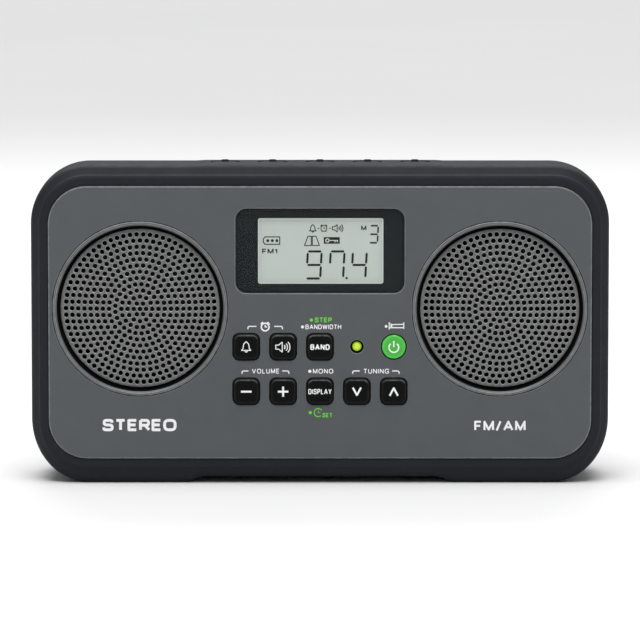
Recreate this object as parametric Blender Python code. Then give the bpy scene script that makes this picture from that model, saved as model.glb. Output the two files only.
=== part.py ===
"""A portable stereo radio that stands on a table: two speakers, a display, nine front keys, five preset keys
on the top, a rubber bumper round the cabinet, a battery bay at the back and a telescopic antenna.

The frame: +X is the listener's right, +Y runs from the front to the back, and +Z is up. The origin is on the
surface that the radio stands on, at the middle of its width and depth. Sizes are in millimetres until a mesh
is made, which turns them into metres.
"""

import math

import bmesh
import bpy
from mathutils import Matrix, Vector

MM = 0.001
GAP = 0.3

# Driving dimensions.
PANEL_WIDTH = 246.0
PANEL_HEIGHT = 124.0
PANEL_RADIUS = 17.6
BUMPER_THICK = 9.0
FOOT_DROP = 2.5
OVERALL_DEPTH = 66.0
KEY_PROUD = 1.2
WALL = 2.5

# Places that follow from them.
PANEL_Z = BUMPER_THICK + FOOT_DROP + PANEL_HEIGHT / 2
FACE_Y = KEY_PROUD - OVERALL_DEPTH / 2
INNER_FACE_Y = FACE_Y + WALL
REAR_LIP_Y = OVERALL_DEPTH / 2
REAR_Y = REAR_LIP_Y - 1.0
SPLIT_Y = 2.0
FRONT_SHOULDER_Y = FACE_Y + 6.8
REAR_SHOULDER_Y = REAR_Y - 6.5
CABINET_OFFSET = 5.0
PANEL_TOP = PANEL_Z + PANEL_HEIGHT / 2
CABINET_TOP = PANEL_TOP + CABINET_OFFSET
CABINET_SIDE = PANEL_WIDTH / 2 + CABINET_OFFSET
CORNER_STEPS = 7
EDGE_BEVEL = 0.7

# Feet and the raised strip that carries the preset keys.
FOOT_INNER_X = 60.6
NOTCH_X = 52.7
STRIP_X = 52.0
STRIP_RISE = 0.25

# Speakers.
SPEAKER_X = 81.4
SPEAKER_Z = 79.9
BEZEL_RADIUS = 39.6
BEZEL_INNER = 37.9
BEZEL_DEEP = 2.2
GRILLE_RADIUS = 36.1
GRILLE_THICK = 1.2
GRILLE_RINGS = 4
GRILLE_PITCH = 7.9
GRILLE_HOLE = 2.2
ROUND_STEPS = 36

# Front keys.
KEY_SIZE = 12.6
KEY_RADIUS = 3.0
KEY_PITCH_X = 16.7
KEY_PITCH_Z = 20.3
KEY_ROW_Z = 62.6
KEY_TRAVEL = 0.9
KEY_BACK_Y = INNER_FACE_Y + 1.5
POWER_RADIUS = 5.4
POWER_HOLE = 5.9
LENS_RADIUS = 2.15
LENS_HOLE = 3.05

# Display.
WINDOW_SIZE = (75.7, 37.7)
WINDOW_RADIUS = 4.6
WINDOW_Z = 106.1
VIEW_SIZE = (56.7, 29.8)
PANEL_STACK = (62.0, 35.0)

# Preset keys.
PRESET_PITCH = 21.6
PRESET_Y = -6.0
PRESET_RADIUS = 6.3
PRESET_TRAVEL = 1.0
PRESET_STEM = 2.5
PRESET_REACH = 6.0
PRESET_BAR = 1.0

# Battery bay and its door.
CELL_RADIUS = 12.9
CELL_LENGTH = 49.7
CELL_Y = 16.2
CELL_ROWS = (31.0, 57.6)
BAY_X = 54.5
BAY_Z = (17.6, 71.2)
BAY_Y = 2.8
BAY_WALL = 2.0
DOOR_X = 57.5
DOOR_Z = (16.0, 74.0)
DOOR_THICK = 2.2
HINGE_RADIUS = DOOR_THICK / 2
HINGE_Y = REAR_Y - HINGE_RADIUS
HINGE_Z = DOOR_Z[0] + HINGE_RADIUS
LATCH_SIZE = (20.0, 8.0)
LATCH_TRAVEL = 3.0
LATCH_TOP = 71.7

# Antenna and its channel, which runs right across the top of the back.
ANTENNA_X = 106.0
ANTENNA_Y = 24.0
ANTENNA_Z = 138.0
CHANNEL_REACH = 160.0
CHANNEL_Y = 17.5
CHANNEL_FLOOR = 133.0
TUBE_OUTER = (3.25, 2.5, 1.75, 1.0)
TUBE_INNER = (2.8, 2.05, 1.3)
TUBE_STEPS = 12
TUBE_MOUTH = -60.5

# Sockets on the sides.
SOCKET_Y = 12.0
AUDIO_Z = (52.0, 66.0)
SUPPLY_Z = 44.0

# Case screws.
SCREW_PLACES = ((-108.0, 27.0), (108.0, 27.0), (-108.0, 120.0), (108.0, 120.0))


# ---------------------------------------------------------------------------------------------------
# Tools
# ---------------------------------------------------------------------------------------------------


def clear_scene():
    for item in list(bpy.data.objects):
        bpy.data.objects.remove(item)


def material(name, colour, roughness, metallic=0.0):
    made = bpy.data.materials.new(name)
    made.use_nodes = True
    shader = made.node_tree.nodes["Principled BSDF"]
    shader.inputs["Base Color"].default_value = (*colour, 1.0)
    shader.inputs["Roughness"].default_value = roughness
    shader.inputs["Metallic"].default_value = metallic
    return made


def make_object(name, bm, finish=None, smooth_angle=35.0):
    """Turns a mesh in millimetres into an object in metres."""
    bmesh.ops.recalc_face_normals(bm, faces=bm.faces)
    bmesh.ops.scale(bm, vec=(MM, MM, MM), verts=bm.verts)
    mesh = bpy.data.meshes.new(name)
    bm.to_mesh(mesh)
    bm.free()
    made = bpy.data.objects.new(name, mesh)
    bpy.context.scene.collection.objects.link(made)
    if finish:
        mesh.materials.append(finish)
    mesh.shade_smooth()
    mesh.set_sharp_from_angle(angle=math.radians(smooth_angle))
    return made


def boolean(target, tool, operation):
    """Cuts or joins a throwaway tool, and keeps the result as the target's own mesh."""
    modifier = target.modifiers.new(operation, "BOOLEAN")
    modifier.object = tool
    modifier.operation = operation
    modifier.solver = "EXACT"
    bpy.context.view_layer.update()
    graph = bpy.context.evaluated_depsgraph_get()
    result = bpy.data.meshes.new_from_object(target.evaluated_get(graph))
    result.name = target.name
    target.modifiers.clear()
    target.data = result
    bpy.data.objects.remove(tool)
    return target


def cut(target, *tools):
    for tool in tools:
        boolean(target, tool, "DIFFERENCE")
    return target


def join(target, *tools):
    for tool in tools:
        boolean(target, tool, "UNION")
    return target


def set_origin(target, point):
    """Moves an object's origin to a point without moving its surface, so it sits on its joint's axis."""
    place = Vector(point) * MM
    target.data.transform(Matrix.Translation(-place))
    target.location = place
    return target


def hang(child, parent):
    bpy.context.view_layer.update()
    child.parent = parent
    child.matrix_parent_inverse = parent.matrix_world.inverted()


def rounded_rect(width, height, radius, steps, centre=(0.0, 0.0)):
    """Points (x, z) round a rectangle with round corners, anticlockwise from the right side's top."""
    corners = ((1, 1, 0), (-1, 1, 90), (-1, -1, 180), (1, -1, 270))
    points = []
    for side_x, side_z, start in corners:
        middle_x = centre[0] + side_x * (width / 2 - radius)
        middle_z = centre[1] + side_z * (height / 2 - radius)
        for step in range(steps + 1):
            angle = math.radians(start + 90 * step / steps)
            points.append((middle_x + radius * math.cos(angle), middle_z + radius * math.sin(angle)))
    return points


def panel_outline(offset, steps=CORNER_STEPS):
    """The front panel's outline, moved outwards by an offset."""
    width = PANEL_WIDTH + 2 * offset
    height = PANEL_HEIGHT + 2 * offset
    return rounded_rect(width, height, PANEL_RADIUS + offset, steps, (0.0, PANEL_Z))


def loft_mesh(rings):
    """A closed skin through outlines of (x, z) points, each at its own y, with both ends capped."""
    bm = bmesh.new()
    loops = [[bm.verts.new((x, y, z)) for x, z in outline] for outline, y in rings]
    for first, second in zip(loops, loops[1:]):
        for index in range(len(first)):
            after = (index + 1) % len(first)
            bm.faces.new((first[index], first[after], second[after], second[index]))
    bm.faces.new(loops[0])
    bm.faces.new(loops[-1])
    return bm


def prism_mesh(outline, low_y, high_y):
    return loft_mesh([(outline, low_y), (outline, high_y)])


def box_mesh(low, high):
    bm = bmesh.new()
    size = Vector(high) - Vector(low)
    middle = (Vector(high) + Vector(low)) / 2
    matrix = Matrix.Translation(middle) @ Matrix.Diagonal((*size, 1.0))
    bmesh.ops.create_cube(bm, size=1.0, matrix=matrix)
    return bm


def lathe_mesh(profile, steps, centre, axis="Y", closed=False):
    """Turns (radius, distance along the axis) points round an axis through centre. A profile that isn't closed
    starts and ends on the axis."""
    bm = bmesh.new()
    verts = [bm.verts.new((radius, along, 0.0)) for radius, along in profile]
    edges = [bm.edges.new(pair) for pair in zip(verts, verts[1:])]
    if closed:
        edges.append(bm.edges.new((verts[-1], verts[0])))
    bmesh.ops.spin(
        bm,
        geom=verts + edges,
        cent=(0.0, 0.0, 0.0),
        axis=(0.0, 1.0, 0.0),
        angle=math.tau,
        steps=steps,
        use_merge=True,
    )
    bmesh.ops.remove_doubles(bm, verts=bm.verts, dist=1e-4)
    turn = {
        "X": Matrix.Rotation(math.radians(-90), 4, "Z"),
        "Y": Matrix.Identity(4),
        "Z": Matrix.Rotation(math.radians(90), 4, "X"),
    }[axis]
    bmesh.ops.transform(bm, matrix=Matrix.Translation(centre) @ turn, verts=bm.verts)
    return bm


def rod_mesh(radius, low, high, steps, centre, axis="Y"):
    profile = ((0.0, low), (radius, low), (radius, high), (0.0, high))
    return lathe_mesh(profile, steps, centre, axis)


def tube_mesh(inner, outer, low, high, steps, centre, axis="Y"):
    profile = ((inner, low), (outer, low), (outer, high), (inner, high))
    return lathe_mesh(profile, steps, centre, axis, closed=True)


def tool(bm):
    return make_object("tool", bm)


def rod_tool(*arguments, **named):
    return tool(rod_mesh(*arguments, **named))


def box_tool(low, high):
    return tool(box_mesh(low, high))


# ---------------------------------------------------------------------------------------------------
# Materials
# ---------------------------------------------------------------------------------------------------


def make_materials():
    return {
        "panel_grey": material("panel_grey", (0.094, 0.103, 0.106), 0.45),
        "rubber": material("rubber", (0.022, 0.024, 0.029), 0.62),
        "grille_grey": material("grille_grey", (0.115, 0.12, 0.122), 0.4),
        "case_black": material("case_black", (0.02, 0.021, 0.023), 0.5),
        "key_black": material("key_black", (0.008, 0.008, 0.009), 0.35),
        "key_green": material("key_green", (0.03, 0.42, 0.06), 0.35),
        "lens_green": material("lens_green", (0.5, 0.75, 0.03), 0.15),
        "window_clear": material("window_clear", (0.7, 0.72, 0.7), 0.05),
        "mask_black": material("mask_black", (0.012, 0.014, 0.015), 0.3),
        "lcd_grey": material("lcd_grey", (0.42, 0.47, 0.43), 0.3),
        "diffuser": material("diffuser", (0.8, 0.82, 0.8), 0.5),
        "board_green": material("board_green", (0.02, 0.12, 0.05), 0.5),
        "ferrite": material("ferrite", (0.03, 0.03, 0.032), 0.7),
        "copper": material("copper", (0.72, 0.35, 0.16), 0.35, 1.0),
        "paper_cone": material("paper_cone", (0.02, 0.02, 0.02), 0.85),
        "steel": material("steel", (0.62, 0.62, 0.63), 0.3, 1.0),
        "chrome": material("chrome", (0.8, 0.8, 0.82), 0.12, 1.0),
        "cell_wrap": material("cell_wrap", (0.05, 0.12, 0.3), 0.35),
    }


# ---------------------------------------------------------------------------------------------------
# Cabinet and bumper
# ---------------------------------------------------------------------------------------------------


def key_places():
    """Each square key's name and its centre (x, z), left to right, top row first."""
    top = ("alarm_buzzer_key", "alarm_radio_key", "band_key")
    bottom = ("volume_down_key", "volume_up_key", "display_key", "tuning_down_key", "tuning_up_key")
    places = {name: ((column - 2) * KEY_PITCH_X, KEY_ROW_Z) for column, name in enumerate(top)}
    for column, name in enumerate(bottom):
        places[name] = ((column - 2) * KEY_PITCH_X, KEY_ROW_Z - KEY_PITCH_Z)
    return places


LENS_PLACE = (KEY_PITCH_X, KEY_ROW_Z)
POWER_PLACE = (2 * KEY_PITCH_X, KEY_ROW_Z)
SIDES = {"left": -1, "right": 1}


def preset_x(number):
    return (number - 3) * PRESET_PITCH


def channel_tool(margin):
    """The antenna's channel as a tool, wider by a margin at the front and below."""
    low = (-CHANNEL_REACH, CHANNEL_Y - margin, CHANNEL_FLOOR - margin)
    return box_tool(low, (CHANNEL_REACH, OVERALL_DEPTH, CABINET_TOP + 20.0))


def make_front_cabinet(finish):
    """The panel and the front half's side walls, with posts for the screws."""
    inside = CABINET_OFFSET - WALL
    rings = [
        (panel_outline(-EDGE_BEVEL), FACE_Y),
        (panel_outline(0.0), FACE_Y + EDGE_BEVEL),
        (panel_outline(0.0), FRONT_SHOULDER_Y),
        (panel_outline(CABINET_OFFSET), FRONT_SHOULDER_Y),
        (panel_outline(CABINET_OFFSET), SPLIT_Y),
        (panel_outline(inside), SPLIT_Y),
        (panel_outline(inside), FRONT_SHOULDER_Y + WALL),
        (panel_outline(-WALL), FRONT_SHOULDER_Y + WALL),
        (panel_outline(-WALL), INNER_FACE_Y),
    ]
    cabinet = make_object("front_cabinet", loft_mesh(rings), finish)
    front, back = FACE_Y - 2.0, INNER_FACE_Y + 2.3
    for x, z in SCREW_PLACES:
        join(cabinet, rod_tool(4.0, INNER_FACE_Y - 1.0, SPLIT_Y - 0.5, 12, (x, 0.0, z)))
        cut(cabinet, rod_tool(1.85, -12.0, SPLIT_Y + 1.0, 10, (x, 0.0, z)))
    for side in SIDES.values():
        place = (side * SPEAKER_X, 0.0, SPEAKER_Z)
        back = INNER_FACE_Y + BEZEL_DEEP + 2 * GAP
        cut(cabinet, rod_tool(BEZEL_RADIUS + GAP, front, back, ROUND_STEPS, place))
    opening = KEY_SIZE + 2 * GAP
    for place in key_places().values():
        outline = rounded_rect(opening, opening, KEY_RADIUS + GAP, 3, place)
        cut(cabinet, tool(prism_mesh(outline, front, back)))
    width, height = (size + 2 * GAP for size in WINDOW_SIZE)
    window = rounded_rect(width, height, WINDOW_RADIUS + GAP, 3, (0.0, WINDOW_Z))
    cut(cabinet, tool(prism_mesh(window, front, back)))
    for (x, z), radius in ((POWER_PLACE, POWER_HOLE), (LENS_PLACE, LENS_HOLE)):
        cut(cabinet, rod_tool(radius, front, back, 20, (x, 0.0, z)))
    for number in range(1, 6):
        place = (preset_x(number), PRESET_Y, 0.0)
        low, high = CABINET_TOP - WALL - 1.0, CABINET_TOP + 1.0
        cut(cabinet, rod_tool(PRESET_STEM + 0.5, low, high, 10, place, axis="Z"))
    return cabinet


def make_rear_cabinet(finish):
    """The back half: wall, battery bay, antenna channel, posts for the screws and holes for the sockets."""
    start = SPLIT_Y + GAP
    rings = [
        (panel_outline(CABINET_OFFSET), start),
        (panel_outline(CABINET_OFFSET), REAR_SHOULDER_Y),
        (panel_outline(0.0), REAR_SHOULDER_Y),
        (panel_outline(0.0), REAR_Y - EDGE_BEVEL),
        (panel_outline(-EDGE_BEVEL), REAR_Y),
    ]
    cabinet = make_object("rear_cabinet", loft_mesh(rings), finish)
    cavity = tool(
        loft_mesh(
            [
                (panel_outline(CABINET_OFFSET - WALL), start - 2.0),
                (panel_outline(CABINET_OFFSET - WALL), REAR_SHOULDER_Y - WALL),
                (panel_outline(-WALL), REAR_SHOULDER_Y - WALL),
                (panel_outline(-WALL), REAR_Y - WALL),
            ]
        )
    )
    cut(cavity, channel_tool(WALL))
    cut(cabinet, cavity)
    for x, z in SCREW_PLACES:
        join(cabinet, rod_tool(4.5, start, REAR_Y - 1.0, 12, (x, 0.0, z)))
        cut(cabinet, rod_tool(1.85, start - 1.0, REAR_Y + 1.0, 10, (x, 0.0, z)))
        cut(cabinet, rod_tool(3.6, REAR_Y - 2.2, REAR_Y + 1.0, 12, (x, 0.0, z)))
    bay_low = (-BAY_X - BAY_WALL, BAY_Y - BAY_WALL, BAY_Z[0] - BAY_WALL)
    bay_high = (BAY_X + BAY_WALL, REAR_Y - 1.0, BAY_Z[1] + BAY_WALL)
    join(cabinet, box_tool(bay_low, bay_high))
    cut(cabinet, box_tool((-BAY_X, BAY_Y, BAY_Z[0]), (BAY_X, REAR_Y + 1.0, BAY_Z[1])))
    door_low = (-DOOR_X - GAP, REAR_Y - DOOR_THICK - GAP, DOOR_Z[0] - GAP)
    door_high = (DOOR_X + GAP, REAR_Y + 1.0, DOOR_Z[1] + GAP)
    cut(cabinet, box_tool(door_low, door_high))
    hinge_reach = DOOR_X + 2.2
    cut(cabinet, rod_tool(0.9, -hinge_reach, hinge_reach, 8, (0.0, HINGE_Y, HINGE_Z), axis="X"))
    cut(cabinet, channel_tool(0.0))
    cut(cabinet, rod_tool(4.5, 125.0, 136.0, 12, (ANTENNA_X, ANTENNA_Y, 0.0), axis="Z"))
    reach = CABINET_SIDE + 1.0
    for z in AUDIO_Z:
        cut(cabinet, rod_tool(4.0, CABINET_SIDE - WALL - 1.0, reach, 12, (0.0, SOCKET_Y, z), axis="X"))
    cut(cabinet, rod_tool(5.0, -reach, WALL + 1.0 - CABINET_SIDE, 12, (0.0, SOCKET_Y, SUPPLY_Z), axis="X"))
    return cabinet


# The bumper's section, as (y, thickness where it is crowned, thickness along the flat underside, thickness at
# a foot). The first point is the front lip's inner edge, and the last four lie against the cabinet.
BUMPER_SECTION = (
    (-31.1, 0.3, 0.3, 0.3),
    (-31.1, 3.4, 3.6, 3.6),
    (-30.4, 4.5, 4.8, 5.0),
    (-29.0, 5.1, 6.3, 7.6),
    (-26.8, 6.7, 8.6, 10.9),
    (-24.2, 8.3, 8.9, 11.5),
    (-20.0, 8.9, 9.0, 11.5),
    (-10.0, 9.0, 9.0, 11.5),
    (-1.0, 9.0, 9.0, 11.5),
    (10.0, 8.5, 9.0, 11.5),
    (20.0, 7.6, 9.0, 11.5),
    (27.0, 6.3, 8.1, 10.2),
    (31.0, 4.6, 5.8, 7.0),
    (32.6, 3.3, 4.0, 4.6),
    (33.0, 2.4, 2.6, 2.8),
    (33.0, 0.3, 0.3, 0.3),
    (REAR_SHOULDER_Y + GAP, 0.3, 0.3, 0.3),
    (REAR_SHOULDER_Y + GAP, CABINET_OFFSET + GAP, CABINET_OFFSET + GAP, CABINET_OFFSET + GAP),
    (FRONT_SHOULDER_Y - GAP, CABINET_OFFSET + GAP, CABINET_OFFSET + GAP, CABINET_OFFSET + GAP),
    (FRONT_SHOULDER_Y - GAP, 0.3, 0.3, 0.3),
)
OUTER_POINTS = range(6, 11)


def bumper_stations():
    """Places round the outline: (x, z, outward x, outward z, underside share, foot share, strip share)."""
    stations = []
    corners = ((1, 1, 0), (-1, 1, 90), (-1, -1, 180), (1, -1, 270))
    ramp = STRIP_X + 4.0
    top_edge = ((ramp, 0), (STRIP_X, 1), (-STRIP_X, 1), (-ramp, 0))
    low_edge = ((-FOOT_INNER_X, 1), (-NOTCH_X, 0), (NOTCH_X, 0), (FOOT_INNER_X, 1))
    for side_x, side_z, start in corners:
        middle_x = side_x * (PANEL_WIDTH / 2 - PANEL_RADIUS)
        middle_z = PANEL_Z + side_z * (PANEL_HEIGHT / 2 - PANEL_RADIUS)
        for step in range(CORNER_STEPS + 1):
            share = step / CORNER_STEPS
            angle = math.radians(start + 90 * share)
            out_x, out_z = math.cos(angle), math.sin(angle)
            low = {180: share, 270: 1 - share}.get(start, 0.0)
            x, z = middle_x + PANEL_RADIUS * out_x, middle_z + PANEL_RADIUS * out_z
            stations.append((x, z, out_x, out_z, low, low, 0))
        if start == 0:
            stations += [(x, PANEL_TOP, 0, 1, 0, 0, strip) for x, strip in top_edge]
        if start == 180:
            base = PANEL_Z - PANEL_HEIGHT / 2
            stations += [(x, base, 0, -1, 1, foot, 0) for x, foot in low_edge]
    return stations


def make_bumper(finish):
    """One rubber band that grips both halves of the cabinet, with a lip at the front and one at the back."""
    bm = bmesh.new()
    loops = []
    for x, z, out_x, out_z, low, foot, strip in bumper_stations():
        loop = []
        for index, (y, crowned, flat, footed) in enumerate(BUMPER_SECTION):
            rise = STRIP_RISE * strip if index in OUTER_POINTS else 0.0
            thick = crowned + (flat - crowned) * low + (footed - flat) * foot + rise
            loop.append(bm.verts.new((x + out_x * thick, y, z + out_z * thick)))
        loops.append(loop)
    count = len(BUMPER_SECTION)
    for first, second in zip(loops, loops[1:] + loops[:1]):
        for index in range(count):
            after = (index + 1) % count
            bm.faces.new((first[index], first[after], second[after], second[index]))
    bumper = make_object("protective_bumper", bm, finish)
    for number in range(1, 6):
        place = (preset_x(number), PRESET_Y, 0.0)
        cut(bumper, rod_tool(PRESET_RADIUS + GAP, CABINET_TOP - 1.0, 150.0, 16, place, axis="Z"))
    cut(bumper, channel_tool(GAP))
    middle = sum(AUDIO_Z) / 2
    slot = rounded_rect(13.0, 27.0, 5.0, 3, (SOCKET_Y, middle))
    cut(bumper, side_slot(slot, CABINET_SIDE - 1.0, 140.0))
    slot = rounded_rect(14.0, 14.0, 5.0, 3, (SOCKET_Y, SUPPLY_Z))
    cut(bumper, side_slot(slot, -140.0, 1.0 - CABINET_SIDE))
    return bumper


def side_slot(outline, low_x, high_x):
    """A tool that cuts an outline of (y, z) points through a side wall."""
    bm = prism_mesh(outline, low_x, high_x)
    for vert in bm.verts:
        vert.co = (vert.co.y, vert.co.x, vert.co.z)
    return tool(bm)


# ---------------------------------------------------------------------------------------------------
# Speakers
# ---------------------------------------------------------------------------------------------------


def dome_y(radius, height):
    """The grille's front surface: a shallow sphere from its rim to a crown level with the keys' fronts."""
    rim_y = FACE_Y + 3.0
    crown = rim_y + OVERALL_DEPTH / 2
    ball = (GRILLE_RADIUS**2 + crown**2) / (2 * crown)
    drop = ball - math.sqrt(ball**2 - radius**2)
    return -OVERALL_DEPTH / 2 + drop + height


def make_grille(name, centre, finish):
    """A shallow dome with rings of holes."""
    radii = [GRILLE_RADIUS * share for share in (0.0, 0.4, 0.75, 1.0)]
    front = [(radius, dome_y(radius, 0.0)) for radius in radii]
    back = [(radius, dome_y(radius, GRILLE_THICK)) for radius in reversed(radii)]
    grille = make_object(name, lathe_mesh(front + back, ROUND_STEPS, centre), finish)
    holes = bmesh.new()
    for ring in range(GRILLE_RINGS + 1):
        count = max(1, 6 * ring)
        for hole in range(count):
            angle = math.tau * hole / count
            x = centre[0] + ring * GRILLE_PITCH * math.cos(angle)
            z = centre[2] + ring * GRILLE_PITCH * math.sin(angle)
            matrix = Matrix.Translation((x, FACE_Y, z)) @ Matrix.Rotation(math.radians(90), 4, "X")
            bmesh.ops.create_cone(
                holes,
                cap_ends=True,
                segments=5,
                radius1=GRILLE_HOLE,
                radius2=GRILLE_HOLE,
                depth=20.0,
                matrix=matrix,
            )
    return cut(grille, tool(holes))


def make_speaker(side, finishes):
    """The bezel, grille, frame, cone and magnet of one side."""
    centre = (SIDES[side] * SPEAKER_X, 0.0, SPEAKER_Z)
    front = FACE_Y - 0.3
    seat_y = INNER_FACE_Y + GAP
    bezel = (
        (BEZEL_INNER, front),
        (BEZEL_RADIUS - EDGE_BEVEL, front),
        (BEZEL_RADIUS, front + EDGE_BEVEL),
        (BEZEL_RADIUS, seat_y + BEZEL_DEEP),
        (34.8, seat_y + BEZEL_DEEP),
        (34.8, dome_y(34.8, GRILLE_THICK + GAP)),
        (GRILLE_RADIUS + 0.4, dome_y(GRILLE_RADIUS, GRILLE_THICK + GAP)),
        (GRILLE_RADIUS + 0.4, dome_y(GRILLE_RADIUS, -0.2)),
    )
    mesh = lathe_mesh(bezel, ROUND_STEPS, centre, closed=True)
    make_object(f"speaker_bezel_{side}", mesh, finishes["panel_grey"])
    make_grille(f"speaker_grille_{side}", centre, finishes["grille_grey"])
    top = seat_y + BEZEL_DEEP + GAP
    frame = (
        (32.5, top),
        (38.2, top),
        (38.2, top + 1.5),
        (32.5, top + 1.5),
        (17.0, top + 15.0),
        (17.0, top + 16.5),
        (9.0, top + 16.5),
        (9.0, top + 15.0),
        (15.5, top + 14.0),
        (31.0, top + 1.0),
    )
    mesh = lathe_mesh(frame, 20, centre, closed=True)
    make_object(f"speaker_frame_{side}", mesh, finishes["steel"])
    cone = (
        (0.0, top + 5.0),
        (7.0, top + 6.5),
        (9.0, top + 8.5),
        (26.0, top + 0.6),
        (28.5, top - 0.5),
        (30.5, top + 0.5),
        (30.5, top + 1.0),
        (26.0, top + 1.6),
        (9.0, top + 9.6),
        (0.0, top + 7.5),
    )
    mesh = lathe_mesh(cone, 20, centre)
    make_object(f"speaker_cone_{side}", mesh, finishes["paper_cone"])
    back = top + 16.5 + GAP
    magnet = (
        (0.0, back),
        (18.0, back),
        (18.0, back + 1.6),
        (20.0, back + 1.6),
        (20.0, back + 8.0),
        (18.0, back + 8.0),
        (18.0, back + 9.6),
        (0.0, back + 9.6),
    )
    make_object(f"speaker_magnet_{side}", lathe_mesh(magnet, 20, centre), finishes["ferrite"])


# ---------------------------------------------------------------------------------------------------
# Keys and display
# ---------------------------------------------------------------------------------------------------


def make_square_key(name, place, finish):
    """A key cap with a flange behind the panel that keeps it in its opening."""
    front = -OVERALL_DEPTH / 2
    flange = KEY_SIZE + 2.4

    def outline(size, radius):
        return rounded_rect(size, size, radius, 3, place)

    rings = [
        (outline(KEY_SIZE - 1.6, KEY_RADIUS - 0.6), front),
        (outline(KEY_SIZE - 0.5, KEY_RADIUS - 0.2), front + 0.35),
        (outline(KEY_SIZE, KEY_RADIUS), front + 0.9),
        (outline(KEY_SIZE, KEY_RADIUS), INNER_FACE_Y + GAP),
        (outline(flange, KEY_RADIUS), INNER_FACE_Y + GAP),
        (outline(flange, KEY_RADIUS), KEY_BACK_Y),
    ]
    key = make_object(name, loft_mesh(rings), finish)
    set_origin(key, (place[0], front, place[1]))


def make_round_controls(finishes):
    """The power key and the indicator's lens."""
    front = -OVERALL_DEPTH / 2 + 0.4
    x, z = POWER_PLACE
    power = (
        (0.0, front),
        (POWER_RADIUS - 0.9, front + 0.1),
        (POWER_RADIUS, front + 0.8),
        (POWER_RADIUS, INNER_FACE_Y + GAP),
        (POWER_HOLE + 0.8, INNER_FACE_Y + GAP),
        (POWER_HOLE + 0.8, KEY_BACK_Y),
        (0.0, KEY_BACK_Y),
    )
    key = make_object("power_key", lathe_mesh(power, 20, (x, 0.0, z)), finishes["key_green"])
    set_origin(key, (x, front, z))
    x, z = LENS_PLACE
    tip = FACE_Y + 0.4
    lens = (
        (0.0, tip),
        (LENS_RADIUS * 0.6, tip + 0.45),
        (LENS_RADIUS, tip + 1.7),
        (LENS_RADIUS, INNER_FACE_Y + GAP),
        (LENS_HOLE + 1.0, INNER_FACE_Y + GAP),
        (LENS_HOLE + 1.0, INNER_FACE_Y + 1.6),
        (0.0, INNER_FACE_Y + 1.6),
    )
    make_object("indicator_lens", lathe_mesh(lens, 14, (x, 0.0, z)), finishes["lens_green"])


def make_preset_key(number, finish):
    """A round rubber cap on a stem, with a raised bar to find it by touch."""
    x = preset_x(number)
    crown = PANEL_TOP + BUMPER_THICK + STRIP_RISE
    low = CABINET_TOP + GAP + PRESET_TRAVEL
    profile = (
        (0.0, low - PRESET_REACH),
        (PRESET_STEM, low - PRESET_REACH),
        (PRESET_STEM, low),
        (PRESET_RADIUS, low),
        (PRESET_RADIUS, crown - 0.7),
        (PRESET_RADIUS - 0.6, crown - 0.3),
        (PRESET_RADIUS / 2, crown - 0.05),
        (0.0, crown),
    )
    place = (x, PRESET_Y, 0.0)
    key = make_object(f"preset_key_{number}", lathe_mesh(profile, 16, place, axis="Z"), finish)
    bar_low = (x - 1.7, PRESET_Y - 0.8, crown - 1.0)
    bar_high = (x + 1.7, PRESET_Y + 0.8, crown + PRESET_BAR)
    join(key, box_tool(bar_low, bar_high))
    set_origin(key, (x, PRESET_Y, crown))


def make_display(finishes):
    """Window, mask, liquid-crystal panel and backlight diffuser, from front to back."""
    place = (0.0, WINDOW_Z)
    window = rounded_rect(*WINDOW_SIZE, WINDOW_RADIUS, 3, place)
    front = FACE_Y + 0.35
    make_object("display_window", prism_mesh(window, front, front + 1.5), finishes["window_clear"])
    mask_y = front + 1.5 + GAP
    mask = make_object("display_mask", prism_mesh(window, mask_y, mask_y + 1.2), finishes["mask_black"])
    view = rounded_rect(*VIEW_SIZE, 1.0, 2, place)
    cut(mask, tool(prism_mesh(view, mask_y - 1.0, mask_y + 3.0)))
    half_width, half_height = PANEL_STACK[0] / 2, PANEL_STACK[1] / 2
    layers = (("lcd_panel", 2.0, "lcd_grey"), ("backlight_diffuser", 3.0, "diffuser"))
    y = mask_y + 1.2 + GAP
    for name, thick, finish in layers:
        low = (-half_width, y, WINDOW_Z - half_height)
        high = (half_width, y + thick, WINDOW_Z + half_height)
        make_object(name, box_mesh(low, high), finishes[finish])
        y += thick + GAP


# ---------------------------------------------------------------------------------------------------
# Boards and other inside pieces
# ---------------------------------------------------------------------------------------------------


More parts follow.
